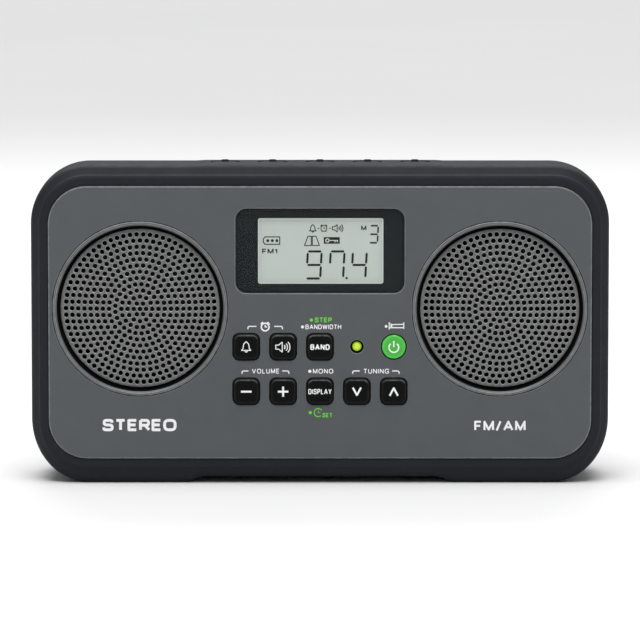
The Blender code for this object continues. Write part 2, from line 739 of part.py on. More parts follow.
def make_boards(finishes):
    """The key board behind the front keys, and the main board under the preset keys, each on four posts."""
    board_y = -21.4
    switch_y = KEY_BACK_Y + KEY_TRAVEL + GAP
    board = make_object(
        "key_board", box_mesh((-42.0, board_y, 28.0), (42.0, board_y + 1.6, 124.0)), finishes["board_green"]
    )
    switches = [*key_places().values(), POWER_PLACE]
    for x, z in switches:
        join(board, box_tool((x - 3.0, switch_y, z - 3.0), (x + 3.0, board_y + 0.5, z + 3.0)))
    for x in (-40.0, 40.0):
        for z in (30.0, 122.0):
            join(board, box_tool((x - 1.5, INNER_FACE_Y + GAP, z - 1.5), (x + 1.5, board_y + 0.5, z + 1.5)))
    top = 131.6
    switch_z = CABINET_TOP - PRESET_REACH
    main = make_object(
        "main_board", box_mesh((-80.0, -20.0, top - 1.6), (80.0, 13.0, top)), finishes["board_green"]
    )
    for number in range(1, 6):
        x = preset_x(number)
        join(main, box_tool((x - 3.0, PRESET_Y - 3.0, top - 0.5), (x + 3.0, PRESET_Y + 3.0, switch_z)))
    for x in (-76.0, 76.0):
        for y in (-16.0, 9.0):
            post_top = CABINET_TOP - WALL - GAP
            join(main, box_tool((x - 2.0, y - 2.0, top - 0.5), (x + 2.0, y + 2.0, post_top)))
    parts = (
        ((-70.0, -15.0), (18.0, 14.0), 5.0),
        ((-45.0, 2.0), (9.0, 9.0), 6.0),
        ((58.0, -14.0), (16.0, 20.0), 4.0),
    )
    for (x, y), (length, width), height in parts:
        join(main, box_tool((x, y, top - 1.6 - height), (x + length, y + width, top - 1.0)))


def make_ferrite(finishes):
    """The medium-wave antenna: a ferrite rod with a coil on it."""
    centre = (0.0, 10.0, 95.0)
    make_object("ferrite_rod", rod_mesh(5.0, -50.0, 50.0, 12, centre, axis="X"), finishes["ferrite"])
    make_object("ferrite_coil", tube_mesh(5.5, 7.0, 8.0, 32.0, 12, centre, axis="X"), finishes["copper"])


def make_sockets(finishes):
    """Two audio sockets on the right side and the supply socket on the left."""
    for name, z in zip(("headphone_jack", "aux_jack"), AUDIO_Z):
        back = CABINET_SIDE - WALL - GAP
        low, high = (back - 14.0, SOCKET_Y - 6.0, z - 5.0), (back, SOCKET_Y + 6.0, z + 5.0)
        jack = make_object(name, box_mesh(low, high))
        jack.data.materials.append(finishes["case_black"])
        place = (0.0, SOCKET_Y, z)
        join(jack, rod_tool(3.6, back - 1.0, CABINET_SIDE + 0.2, 12, place, axis="X"))
        cut(jack, rod_tool(1.85, back - 11.0, CABINET_SIDE + 2.0, 10, place, axis="X"))
    back = WALL + GAP - CABINET_SIDE
    low, high = (back, SOCKET_Y - 5.5, SUPPLY_Z - 5.5), (back + 13.0, SOCKET_Y + 5.5, SUPPLY_Z + 5.5)
    jack = make_object("dc_jack", box_mesh(low, high), finishes["case_black"])
    place = (0.0, SOCKET_Y, SUPPLY_Z)
    join(jack, rod_tool(4.6, -CABINET_SIDE - 0.2, back + 1.0, 12, place, axis="X"))
    cut(jack, rod_tool(3.1, -CABINET_SIDE - 2.0, back + 9.0, 12, place, axis="X"))
    join(jack, rod_tool(1.0, -CABINET_SIDE + 1.0, back + 10.0, 8, place, axis="X"))


def make_batteries(finishes):
    """Four cells in two rows, with a spring at one end of each row and one plate to link the other ends."""
    number = 1
    for z in CELL_ROWS:
        for start in (-CELL_LENGTH - 0.15, 0.15):
            profile = (
                (0.0, start),
                (CELL_RADIUS, start),
                (CELL_RADIUS, start + CELL_LENGTH - 1.4),
                (3.3, start + CELL_LENGTH - 1.4),
                (3.3, start + CELL_LENGTH),
                (0.0, start + CELL_LENGTH),
            )
            cell = lathe_mesh(profile, 14, (0.0, CELL_Y, z), axis="X")
            make_object(f"battery_cell_{number}", cell, finishes["cell_wrap"])
            number += 1
    for name, z in zip(("battery_spring_lower", "battery_spring_upper"), CELL_ROWS):
        make_spring(name, (-BAY_X + 0.8, CELL_Y, z), finishes["steel"])
    near, far = CELL_LENGTH + 0.5, BAY_X - GAP
    section = (
        (near, 8.0),
        (far, 8.0),
        (far, 9.0),
        (near + 0.8, 9.0),
        (near + 0.8, 23.0),
        (far, 23.0),
        (far, 24.0),
        (near, 24.0),
    )
    bm = bmesh.new()
    face = bm.faces.new([bm.verts.new((x, y, 22.0)) for x, y in section])
    raised = bmesh.ops.extrude_face_region(bm, geom=[face])
    moved = [item for item in raised["geom"] if isinstance(item, bmesh.types.BMVert)]
    bmesh.ops.translate(bm, vec=(0.0, 0.0, 45.0), verts=moved)
    make_object("battery_contact_plate", bm, finishes["steel"])


def make_spring(name, start, finish):
    """A conical coil along +X, widest at its foot."""
    turns, points_per_turn, wire = 2.5, 8, 0.45
    length, wide, narrow = 2.9, 6.5, 3.0
    count = int(turns * points_per_turn)
    curve = bpy.data.curves.new(name, "CURVE")
    curve.dimensions = "3D"
    curve.bevel_depth = wire * MM
    curve.bevel_resolution = 1
    curve.use_fill_caps = True
    spline = curve.splines.new("POLY")
    spline.points.add(count)
    for index in range(count + 1):
        share = index / count
        angle = math.tau * turns * share
        radius = wide + (narrow - wide) * share
        y, z = start[1] + radius * math.cos(angle), start[2] + radius * math.sin(angle)
        spline.points[index].co = ((start[0] + length * share) * MM, y * MM, z * MM, 1.0)
    curve.materials.append(finish)
    bpy.context.scene.collection.objects.link(bpy.data.objects.new(name, curve))


def make_screws(finish):
    profile = (
        (0.0, REAR_Y - 0.4),
        (2.2, REAR_Y - 0.5),
        (3.1, REAR_Y - 1.2),
        (3.1, REAR_Y - 1.9),
        (1.5, REAR_Y - 1.9),
        (1.5, -8.0),
        (0.0, -10.0),
    )
    for number, (x, z) in enumerate(SCREW_PLACES, 1):
        make_object(f"cabinet_screw_{number}", lathe_mesh(profile, 10, (x, 0.0, z)), finish)


# ---------------------------------------------------------------------------------------------------
# Battery door
# ---------------------------------------------------------------------------------------------------


def make_battery_door(finishes):
    """The door turns on two stubs at its lower corners. A sliding catch sits in a pocket near its top."""
    inner_y = REAR_Y - DOOR_THICK
    steps = 6
    section = [(REAR_Y, DOOR_Z[1]), (inner_y, DOOR_Z[1])]
    for step in range(steps + 1):
        angle = math.pi + math.pi * step / steps
        section.append((HINGE_Y + HINGE_RADIUS * math.cos(angle), HINGE_Z + HINGE_RADIUS * math.sin(angle)))
    bm = bmesh.new()
    face = bm.faces.new([bm.verts.new((-DOOR_X, y, z)) for y, z in section])
    raised = bmesh.ops.extrude_face_region(bm, geom=[face])
    moved = [item for item in raised["geom"] if isinstance(item, bmesh.types.BMVert)]
    bmesh.ops.translate(bm, vec=(2 * DOOR_X, 0.0, 0.0), verts=moved)
    door = make_object("battery_door", bm, finishes["case_black"])
    reach = DOOR_X + 1.6
    join(door, rod_tool(0.6, -reach, reach, 8, (0.0, HINGE_Y, HINGE_Z), axis="X"))
    half = LATCH_SIZE[0] / 2
    pocket_low = (-half - GAP, REAR_Y - 1.5, LATCH_TOP - LATCH_SIZE[1] - LATCH_TRAVEL - GAP)
    pocket_high = (half + GAP, REAR_Y + 1.0, LATCH_TOP + GAP)
    cut(door, box_tool(pocket_low, pocket_high))
    hinge = (0.0, HINGE_Y, HINGE_Z)
    set_origin(door, hinge)
    latch_low = (-half, REAR_Y - 1.2, LATCH_TOP - LATCH_SIZE[1])
    latch_mesh = box_mesh(latch_low, (half, REAR_Y, LATCH_TOP))
    latch = make_object("battery_latch", latch_mesh, finishes["case_black"])
    for ridge in range(3):
        z = LATCH_TOP - 2.2 - 1.8 * ridge
        join(latch, box_tool((-half + 2.0, REAR_Y - 0.5, z - 0.4), (half - 2.0, REAR_Y + 0.6, z + 0.4)))
    set_origin(latch, (0.0, REAR_Y, LATCH_TOP))
    hang(latch, door)


# ---------------------------------------------------------------------------------------------------
# Antenna
# ---------------------------------------------------------------------------------------------------


def make_antenna(finishes):
    """A swivel in a bushing, a hinge across it, and four sections that slide out of each other along -X."""
    foot = (ANTENNA_X, ANTENNA_Y, 0.0)
    hinge = (ANTENNA_X, ANTENNA_Y, ANTENNA_Z)
    floor = CHANNEL_FLOOR
    bushing = (
        (2.8, floor + 0.2),
        (4.2, floor + 0.2),
        (4.2, floor - WALL - GAP),
        (5.1, floor - WALL - GAP),
        (5.1, floor - WALL - 2.0),
        (2.8, floor - WALL - 2.0),
    )
    mesh = lathe_mesh(bushing, TUBE_STEPS, foot, axis="Z", closed=True)
    make_object("antenna_bushing", mesh, finishes["steel"])
    stub = (
        (0.0, floor - WALL - 2.5),
        (2.5, floor - WALL - 2.5),
        (2.5, floor + 0.5),
        (5.0, floor + 0.5),
        (5.0, floor + 1.3),
        (0.0, floor + 1.3),
    )
    swivel = make_object("antenna_swivel", lathe_mesh(stub, TUBE_STEPS, foot, axis="Z"), finishes["chrome"])
    for low_y in (-3.5, 1.5):
        ear = tool(prism_mesh(ear_outline(), ANTENNA_Y + low_y, ANTENNA_Y + low_y + 2.0))
        join(swivel, ear)
    cut(swivel, rod_tool(1.5, -5.0, 5.0, 8, hinge, axis="Y"))
    set_origin(swivel, hinge)
    head = ((0.0, -4.4), (2.0, -4.4), (2.0, -3.8), (1.2, -3.8))
    pin = head + tuple((radius, -along) for radius, along in reversed(head))
    pin_object = make_object("antenna_hinge_pin", lathe_mesh(pin, 8, hinge), finishes["steel"])
    set_origin(pin_object, hinge)
    hang(pin_object, swivel)
    chain = [make_root_tube(hinge, finishes["chrome"])]
    root_end = 94.5
    for index in (1, 2, 3):
        mouth = TUBE_MOUTH - 1.5 * index
        outer = TUBE_OUTER[index]
        if index < 3:
            inner = TUBE_INNER[index]
            plug = root_end - 3.5
            profile = [
                (0.0, root_end),
                (outer, root_end),
                (outer, mouth),
                (inner, mouth),
                (inner, plug),
                (0.0, plug),
            ]
        else:
            profile = [(0.0, root_end), (outer, root_end), (outer, mouth - 4.0), (0.0, mouth - 4.0)]
        mesh = lathe_mesh(profile, TUBE_STEPS, (0.0, ANTENNA_Y, ANTENNA_Z), axis="X")
        chain.append(make_object(f"antenna_tube_{index + 1}", mesh, finishes["chrome"]))
        set_origin(chain[-1], hinge)
        root_end -= 4.0
    end = TUBE_MOUTH - 4.5 - 4.0
    tip = (
        (0.0, end - GAP),
        (1.3, end - GAP),
        (1.3, end + 4.3),
        (3.0, end + 4.3),
        (3.25, end + 3.3),
        (3.25, end - 1.8),
        (2.3, end - 4.2),
        (0.0, end - 4.2),
    )
    mesh = lathe_mesh(tip, TUBE_STEPS, (0.0, ANTENNA_Y, ANTENNA_Z), axis="X")
    chain.append(make_object("antenna_tip", mesh, finishes["chrome"]))
    set_origin(chain[-1], hinge)
    for child, parent in zip(chain, [swivel, *chain]):
        hang(child, parent)


def ear_outline():
    """One ear of the swivel's fork: a straight foot with a round top about the hinge."""
    radius, foot = 4.0, CHANNEL_FLOOR + 0.9
    points = [(ANTENNA_X + radius, foot)]
    for step in range(7):
        angle = math.pi * step / 6
        points.append((ANTENNA_X + radius * math.cos(angle), ANTENNA_Z + radius * math.sin(angle)))
    points.append((ANTENNA_X - radius, foot))
    return points


def make_root_tube(hinge, finish):
    """The widest section, closed at its root, with a flat eye that the hinge pin runs through."""
    root = ANTENNA_X - 7.0
    outer, inner = TUBE_OUTER[0], TUBE_INNER[0]
    profile = (
        (0.0, root),
        (outer - 0.4, root),
        (outer, root - 0.4),
        (outer, TUBE_MOUTH),
        (inner, TUBE_MOUTH),
        (inner, root - 4.0),
        (0.0, root - 4.0),
    )
    mesh = lathe_mesh(profile, TUBE_STEPS, (0.0, ANTENNA_Y, ANTENNA_Z), axis="X")
    tube = make_object("antenna_tube_1", mesh, finish)
    half = 1.2
    neck_low = (root - 1.0, ANTENNA_Y - half, ANTENNA_Z - 2.2)
    neck = box_tool(neck_low, (ANTENNA_X - 1.0, ANTENNA_Y + half, ANTENNA_Z + 2.2))
    join(tube, neck, rod_tool(3.1, -half, half, 12, hinge, axis="Y"))
    cut(tube, rod_tool(1.5, -5.0, 5.0, 8, hinge, axis="Y"))
    return set_origin(tube, hinge)


# ---------------------------------------------------------------------------------------------------


def build():
    clear_scene()
    finishes = make_materials()
    make_front_cabinet(finishes["panel_grey"])
    make_rear_cabinet(finishes["case_black"])
    make_bumper(finishes["rubber"])
    for side in SIDES:
        make_speaker(side, finishes)
    for name, place in key_places().items():
        make_square_key(name, place, finishes["key_black"])
    make_round_controls(finishes)
    for number in range(1, 6):
        make_preset_key(number, finishes["rubber"])
    make_display(finishes)
    make_boards(finishes)
    make_ferrite(finishes)
    make_sockets(finishes)
    make_batteries(finishes)
    make_screws(finishes["steel"])
    make_battery_door(finishes)
    make_antenna(finishes)


build()
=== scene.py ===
"""The looks of a portable stereo radio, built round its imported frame.

Shapes are worked out in millimetres from the frame's own boxes and turned into metres when a mesh is made.
The frame: +X is the listener's right, +Y runs from the front to the back, and +Z is up.
"""

import math

import bmesh
import bpy
from mathutils import Matrix, Vector
from mathutils.geometry import delaunay_2d_cdt


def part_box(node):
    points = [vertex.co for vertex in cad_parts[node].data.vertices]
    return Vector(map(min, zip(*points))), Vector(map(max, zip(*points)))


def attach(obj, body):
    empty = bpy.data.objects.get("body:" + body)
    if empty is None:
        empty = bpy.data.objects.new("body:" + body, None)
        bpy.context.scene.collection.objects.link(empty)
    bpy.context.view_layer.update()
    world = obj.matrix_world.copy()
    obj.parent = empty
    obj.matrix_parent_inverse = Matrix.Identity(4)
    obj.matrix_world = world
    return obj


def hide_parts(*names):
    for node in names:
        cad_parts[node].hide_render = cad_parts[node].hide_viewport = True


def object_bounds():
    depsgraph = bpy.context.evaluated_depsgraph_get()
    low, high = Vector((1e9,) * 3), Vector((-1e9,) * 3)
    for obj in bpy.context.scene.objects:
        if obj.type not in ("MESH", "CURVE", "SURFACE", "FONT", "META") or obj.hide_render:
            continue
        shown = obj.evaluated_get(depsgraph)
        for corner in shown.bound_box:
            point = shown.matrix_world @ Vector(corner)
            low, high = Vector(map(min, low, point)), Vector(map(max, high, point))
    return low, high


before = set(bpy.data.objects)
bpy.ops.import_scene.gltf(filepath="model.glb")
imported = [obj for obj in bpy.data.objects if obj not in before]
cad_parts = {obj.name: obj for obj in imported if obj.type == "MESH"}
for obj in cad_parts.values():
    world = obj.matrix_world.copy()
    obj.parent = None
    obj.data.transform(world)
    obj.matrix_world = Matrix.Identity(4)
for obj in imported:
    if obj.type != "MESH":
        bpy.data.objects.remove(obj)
CAD_BOUNDS = [list(corner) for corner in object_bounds()]

MM = 0.001
SPANS = {}


def span(node):
    """A CAD node's lowest and highest corner, in millimetres."""
    if node not in SPANS:
        low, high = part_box(node)
        SPANS[node] = (low / MM, high / MM)
    return SPANS[node]


def middle(node):
    low, high = span(node)
    return (low + high) / 2


# ---- Sizes, read from the frame ----

GAP = 0.3
WALL = 2.5
PANEL_TUCK = 5.0
RIM_INSET = 1.2
FRONT_LOW, FRONT_HIGH = span("front_cabinet")
REAR_LOW, REAR_HIGH = span("rear_cabinet")
BAND_LOW, BAND_HIGH = span("protective_bumper")
FACE_Y = FRONT_LOW.y
INNER_FACE_Y = FACE_Y + WALL
SPLIT_Y = FRONT_HIGH.y
REAR_START_Y = REAR_LOW.y
REAR_Y = REAR_HIGH.y
CABINET_WIDTH = FRONT_HIGH.x - FRONT_LOW.x
CABINET_HEIGHT = FRONT_HIGH.z - FRONT_LOW.z
PANEL_WIDTH = CABINET_WIDTH - 2 * PANEL_TUCK
PANEL_HEIGHT = CABINET_HEIGHT - 2 * PANEL_TUCK
PANEL_RADIUS = 17.6
PANEL_Z = (FRONT_LOW.z + FRONT_HIGH.z) / 2
PANEL_TOP = PANEL_Z + PANEL_HEIGHT / 2
PANEL_BASE = PANEL_Z - PANEL_HEIGHT / 2
CABINET_SIDE = CABINET_WIDTH / 2
FRONT_SHOULDER_Y = FACE_Y + 6.8
REAR_SHOULDER_Y = REAR_Y - 6.5
CORNER_STEPS = 20
ROUND_STEPS = 144

SPEAKERS = ("left", "right")
SQUARE_KEYS = (
    "alarm_buzzer_key",
    "alarm_radio_key",
    "band_key",
    "volume_down_key",
    "volume_up_key",
    "display_key",
    "tuning_down_key",
    "tuning_up_key",
)
PRESETS = [f"preset_key_{number}" for number in range(1, 6)]
KEY_FLANGE = 2.4
KEY_RADIUS = 2.9
KEY_GAP = 0.25
KEY_FIT = 0.5
KEY_SIZE = span("band_key")[1].x - span("band_key")[0].x - KEY_FLANGE - KEY_FIT
POWER_RADIUS = 5.4
POWER_HOLE = 5.9
LENS_RADIUS = 2.15
LENS_HOLE = 3.05
WINDOW_RADIUS = 4.6
VIEW_SIZE = (56.7, 29.8)
VIEW_RADIUS = 1.0
VIEW_CENTRE = (middle("display_window").x + 0.3, middle("display_window").z - 0.2)
BEZEL_RADIUS = (span("speaker_bezel_left")[1].x - span("speaker_bezel_left")[0].x) / 2
GRILLE_RADIUS = (span("speaker_grille_left")[1].x - span("speaker_grille_left")[0].x) / 2

CHANNEL_Y = 17.5
CHANNEL_FLOOR = 133.0
SCREWS = [f"cabinet_screw_{number}" for number in range(1, 5)]


# ---- Outlines ----


def rounded_rect(width, height, radius, centre=(0.0, 0.0), steps=8):
    """Points round a rectangle with round corners, anticlockwise."""
    radius = max(radius, 0.01)
    points = []
    for side_x, side_z, start in ((1, 1, 0), (-1, 1, 90), (-1, -1, 180), (1, -1, 270)):
        middle_x = centre[0] + side_x * (width / 2 - radius)
        middle_z = centre[1] + side_z * (height / 2 - radius)
        for step in range(steps + 1):
            angle = math.radians(start + 90 * step / steps)
            points.append((middle_x + radius * math.cos(angle), middle_z + radius * math.sin(angle)))
    return points


def circle(radius, centre=(0.0, 0.0), steps=ROUND_STEPS):
    angles = [math.tau * step / steps for step in range(steps)]
    return [(centre[0] + radius * math.cos(a), centre[1] + radius * math.sin(a)) for a in angles]


def panel_outline(offset):
    """The front panel's outline, moved outwards by an offset."""
    width, height = PANEL_WIDTH + 2 * offset, PANEL_HEIGHT + 2 * offset
    return rounded_rect(width, height, PANEL_RADIUS + offset, (0.0, PANEL_Z), CORNER_STEPS)


def round_edge(radius, steps=4):
    """(inset, drop, share of wear and painted highlight) from a flat face round to its side wall."""
    made = []
    for step in range(steps + 1):
        angle = math.pi / 2 * step / steps
        made.append((radius * (1 - math.sin(angle)), radius * (1 - math.cos(angle)), math.sin(2 * angle)))
    return made


def soften(points, radius, steps=3, closed=False):
    """Rounds each corner of a profile. A point comes back as (u, v, share of wear and painted highlight), and
    that share is 1 on a corner.
    """
    count = len(points)
    made = []
    for index, point in enumerate(points):
        here = Vector(point[:2])
        if not closed and index in (0, count - 1):
            made.append((*here, 0.0))
            continue
        before = Vector(points[index - 1][:2]) - here
        after = Vector(points[(index + 1) % count][:2]) - here
        reach = point[2] if len(point) > 2 else radius
        start = here + before.normalized() * min(reach, before.length * 0.45)
        end = here + after.normalized() * min(reach, after.length * 0.45)
        for step in range(steps + 1):
            share = step / steps
            mixed = start * (1 - share) ** 2 + here * 2 * share * (1 - share) + end * share**2
            made.append((*mixed, math.sin(math.pi * share)))
    return made


def ease(value):
    """A smooth step from 0 to 1."""
    value = max(0.0, min(1.0, value))
    return value * value * (3 - 2 * value)


# ---- Meshes ----


class Shape:
    """A mesh in the making, in millimetres. Each point carries its share of wear and painted highlight, and
    each face a slot.
    """

    def __init__(self):
        self.points = []
        self.wear_and_highlight = []
        self.faces = []
        self.slots = []

    def ring(self, points, wear_and_highlight=0.0):
        first = len(self.points)
        self.points += [tuple(point) for point in points]
        self.wear_and_highlight += [wear_and_highlight] * len(points)
        return list(range(first, len(self.points)))

    def flat(self, outline, y, wear_and_highlight=0.0):
        """A ring of (x, z) points at one depth."""
        return self.ring([(x, y, z) for x, z in outline], wear_and_highlight)

    def face(self, corners, slot=0):
        self.faces.append(tuple(corners))
        self.slots.append(slot)

    def bridge(self, first, second, slot=0):
        """Joins two rings of as many points, or a ring and a single point."""
        count = max(len(first), len(second))
        for index in range(count):
            after = (index + 1) % count
            corners = [first[index % len(first)], first[after % len(first)]]
            corners += [second[after % len(second)], second[index % len(second)]]
            self.face(dict.fromkeys(corners), slot)

    def skin(self, rings):
        for first, second in zip(rings, rings[1:]):
            self.bridge(first, second)

    def close(self, rings):
        """Joins a stack of rings and caps both its ends."""
        self.skin(rings)
        self.face(rings[0])
        self.face(rings[-1])
        return self

    def fill(self, rings):
        """Fills the first ring, less the other rings, which are convex holes in it."""
        flat, edges, owner, index_of = [], [], [], []
        for number, ring in enumerate(rings):
            first = len(flat)
            count = len(ring)
            flat += [Vector((self.points[i][0], self.points[i][2])) for i in ring]
            edges += [(first + i, first + (i + 1) % count) for i in range(count)]
            owner += [number] * count
            index_of += ring
        _, _, faces, origins, _, _ = delaunay_2d_cdt(flat, edges, [], 1, 1e-6)
        for face in faces:
            corners = [origins[i][0] for i in face]
            owners = {owner[i] for i in corners}
            if len(owners) > 1 or 0 in owners:
                self.face([index_of[i] for i in corners])

    def lathe(self, profile, centre, axis="Y", steps=48, closed=False, slots=None):
        """Turns (radius, distance along the axis, share of wear and painted highlight) points round an axis
        through centre.
        """
        rings = []
        for point in profile:
            radius, along = point[0], point[1]
            wear_and_highlight = point[2] if len(point) > 2 else 0.0
            if radius < 1e-6:
                rings.append(self.ring([place_round(0.0, 0.0, along, centre, axis)], wear_and_highlight))
                continue
            turns = [math.tau * step / steps for step in range(steps)]
            around = [place_round(radius, turn, along, centre, axis) for turn in turns]
            rings.append(self.ring(around, wear_and_highlight))
        if closed:
            rings.append(rings[0])
        for number, (first, second) in enumerate(zip(rings, rings[1:])):
            self.bridge(first, second, slots[number] if slots else 0)
        return self

    def slab(self, outline, low_y, high_y, front, back):
        """A plate between two depths, its outline given by a function of the inset, with rounded edges."""
        rings = []
        for inset, drop, wear_and_highlight in round_edge(front, 3):
            rings.append(self.flat(outline(inset), low_y + drop, wear_and_highlight))
        for inset, drop, wear_and_highlight in reversed(round_edge(back, 3)):
            rings.append(self.flat(outline(inset), high_y - drop, wear_and_highlight))
        return self.close(rings)

    def moved(self, matrix):
        self.points = [tuple(matrix @ Vector(point)) for point in self.points]
        return self

    def add(self, other):
        first = len(self.points)
        self.points += other.points
        self.wear_and_highlight += other.wear_and_highlight
        self.faces += [tuple(i + first for i in face) for face in other.faces]
        self.slots += other.slots

    def mesh(self, name):
        mesh = bpy.data.meshes.new(name)
        mesh.from_pydata([[value * MM for value in point] for point in self.points], [], self.faces)
        mesh.polygons.foreach_set("material_index", self.slots)
        attribute = mesh.attributes.new("wear_and_highlight", "FLOAT", "POINT")
        attribute.data.foreach_set("value", self.wear_and_highlight)
        bm = bmesh.new()
        bm.from_mesh(mesh)
        bmesh.ops.dissolve_degenerate(bm, edges=bm.edges, dist=1e-8)
        bmesh.ops.recalc_face_normals(bm, faces=bm.faces)
        bm.to_mesh(mesh)
        bm.free()
        return mesh


def place_round(radius, turn, along, centre, axis):
    u, v = radius * math.cos(turn), radius * math.sin(turn)
    if axis == "X":
        return (centre[0] + along, centre[1] + u, centre[2] + v)
    if axis == "Y":
        return (centre[0] + u, centre[1] + along, centre[2] + v)
    return (centre[0] + u, centre[1] + v, centre[2] + along)


def block(low, high, radius, corner):
    """A box with rounded edges."""
    centre = ((low[0] + high[0]) / 2, (low[2] + high[2]) / 2)

    def outline(inset):
        width, height = high[0] - low[0] - 2 * inset, high[2] - low[2] - 2 * inset
        return rounded_rect(width, height, corner - inset, centre, 4)

    return Shape().slab(outline, low[1], high[1], radius, radius)


def prism(outline, low, high, axis="Y"):
    """An outline drawn out along an axis, with flat ends."""
    shape = Shape()
    rings = []
    for along in (low, high):
        rings.append(shape.ring([(along, u, v) if axis == "X" else (u, along, v) for u, v in outline]))
    return shape.close(rings)


def new_object(name, mesh):
    made = bpy.data.objects.new(name, mesh)
    bpy.context.scene.collection.objects.link(made)
    return made


def evaluated(item):
    bpy.context.view_layer.update()
    return bpy.data.meshes.new_from_object(item.evaluated_get(bpy.context.evaluated_depsgraph_get()))


def combine(target, tool, operation):
    """Cuts a shape or an object out of an object, or joins it to the object."""
    if isinstance(tool, Shape):
        tool = new_object("tool", tool.mesh("tool"))
    modifier = target.modifiers.new("boolean", "BOOLEAN")
    modifier.object = tool
    modifier.operation = operation
    modifier.solver = "EXACT"
    result = evaluated(target)
    target.modifiers.clear()
    target.data = result
    bpy.data.objects.remove(tool)


def carve(target, tool):
    combine(target, tool, "DIFFERENCE")


def fuse(target, tool):
    combine(target, tool, "UNION")


def bevel_edges(target, width, segments=2):
    """Rounds the sharp edges that cutting left, and marks the new strips for wear and painted highlight."""
    spare = len(target.data.materials) + 1
    modifier = target.modifiers.new("edges", "BEVEL")
    modifier.width = width * MM
    modifier.segments = segments
    modifier.limit_method = "ANGLE"
    modifier.angle_limit = math.radians(35)
    modifier.material = spare
    while len(target.data.materials) <= spare:
        target.data.materials.append(None)
    mesh = evaluated(target)
    target.modifiers.clear()
    target.data = mesh
    inner = [True] * len(mesh.vertices)
    for polygon in mesh.polygons:
        if polygon.material_index != spare:
            for index in polygon.vertices:
                inner[index] = False
    attribute = mesh.attributes.get("wear_and_highlight") or mesh.attributes.new("wear_and_highlight", "FLOAT", "POINT")
    attribute.data.foreach_set("value", [1.0 if worn_and_highlighted else 0.0 for worn_and_highlighted in inner])
    for polygon in mesh.polygons:
        if polygon.material_index == spare:
            polygon.material_index = 0
    mesh.materials.clear()


def finish(item, body, nodes, slot, *finishes, angle=40.0, weighted=True):
    """Shades a piece, gives it its materials, and ties it to its body and the nodes that it stands for."""
    mesh = item.data
    indices = [polygon.material_index for polygon in mesh.polygons]
    mesh.materials.clear()
    for name in finishes:
        mesh.materials.append(FINISHES[name])
    mesh.polygons.foreach_set("material_index", [min(i, len(finishes) - 1) for i in indices])
    mesh.shade_smooth()
    mesh.set_sharp_from_angle(angle=math.radians(angle))
    if weighted:
        modifier = item.modifiers.new("normals", "WEIGHTED_NORMAL")
        modifier.keep_sharp = True
        modifier.weight = 100
    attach(item, body)
    if nodes:
        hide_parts(*nodes)
    return item


def piece(name, shape, body, nodes, slot, *finishes, **options):
    return finish(new_object(name, shape.mesh(name)), body, nodes, slot, *finishes, **options)


# ---- Materials ----


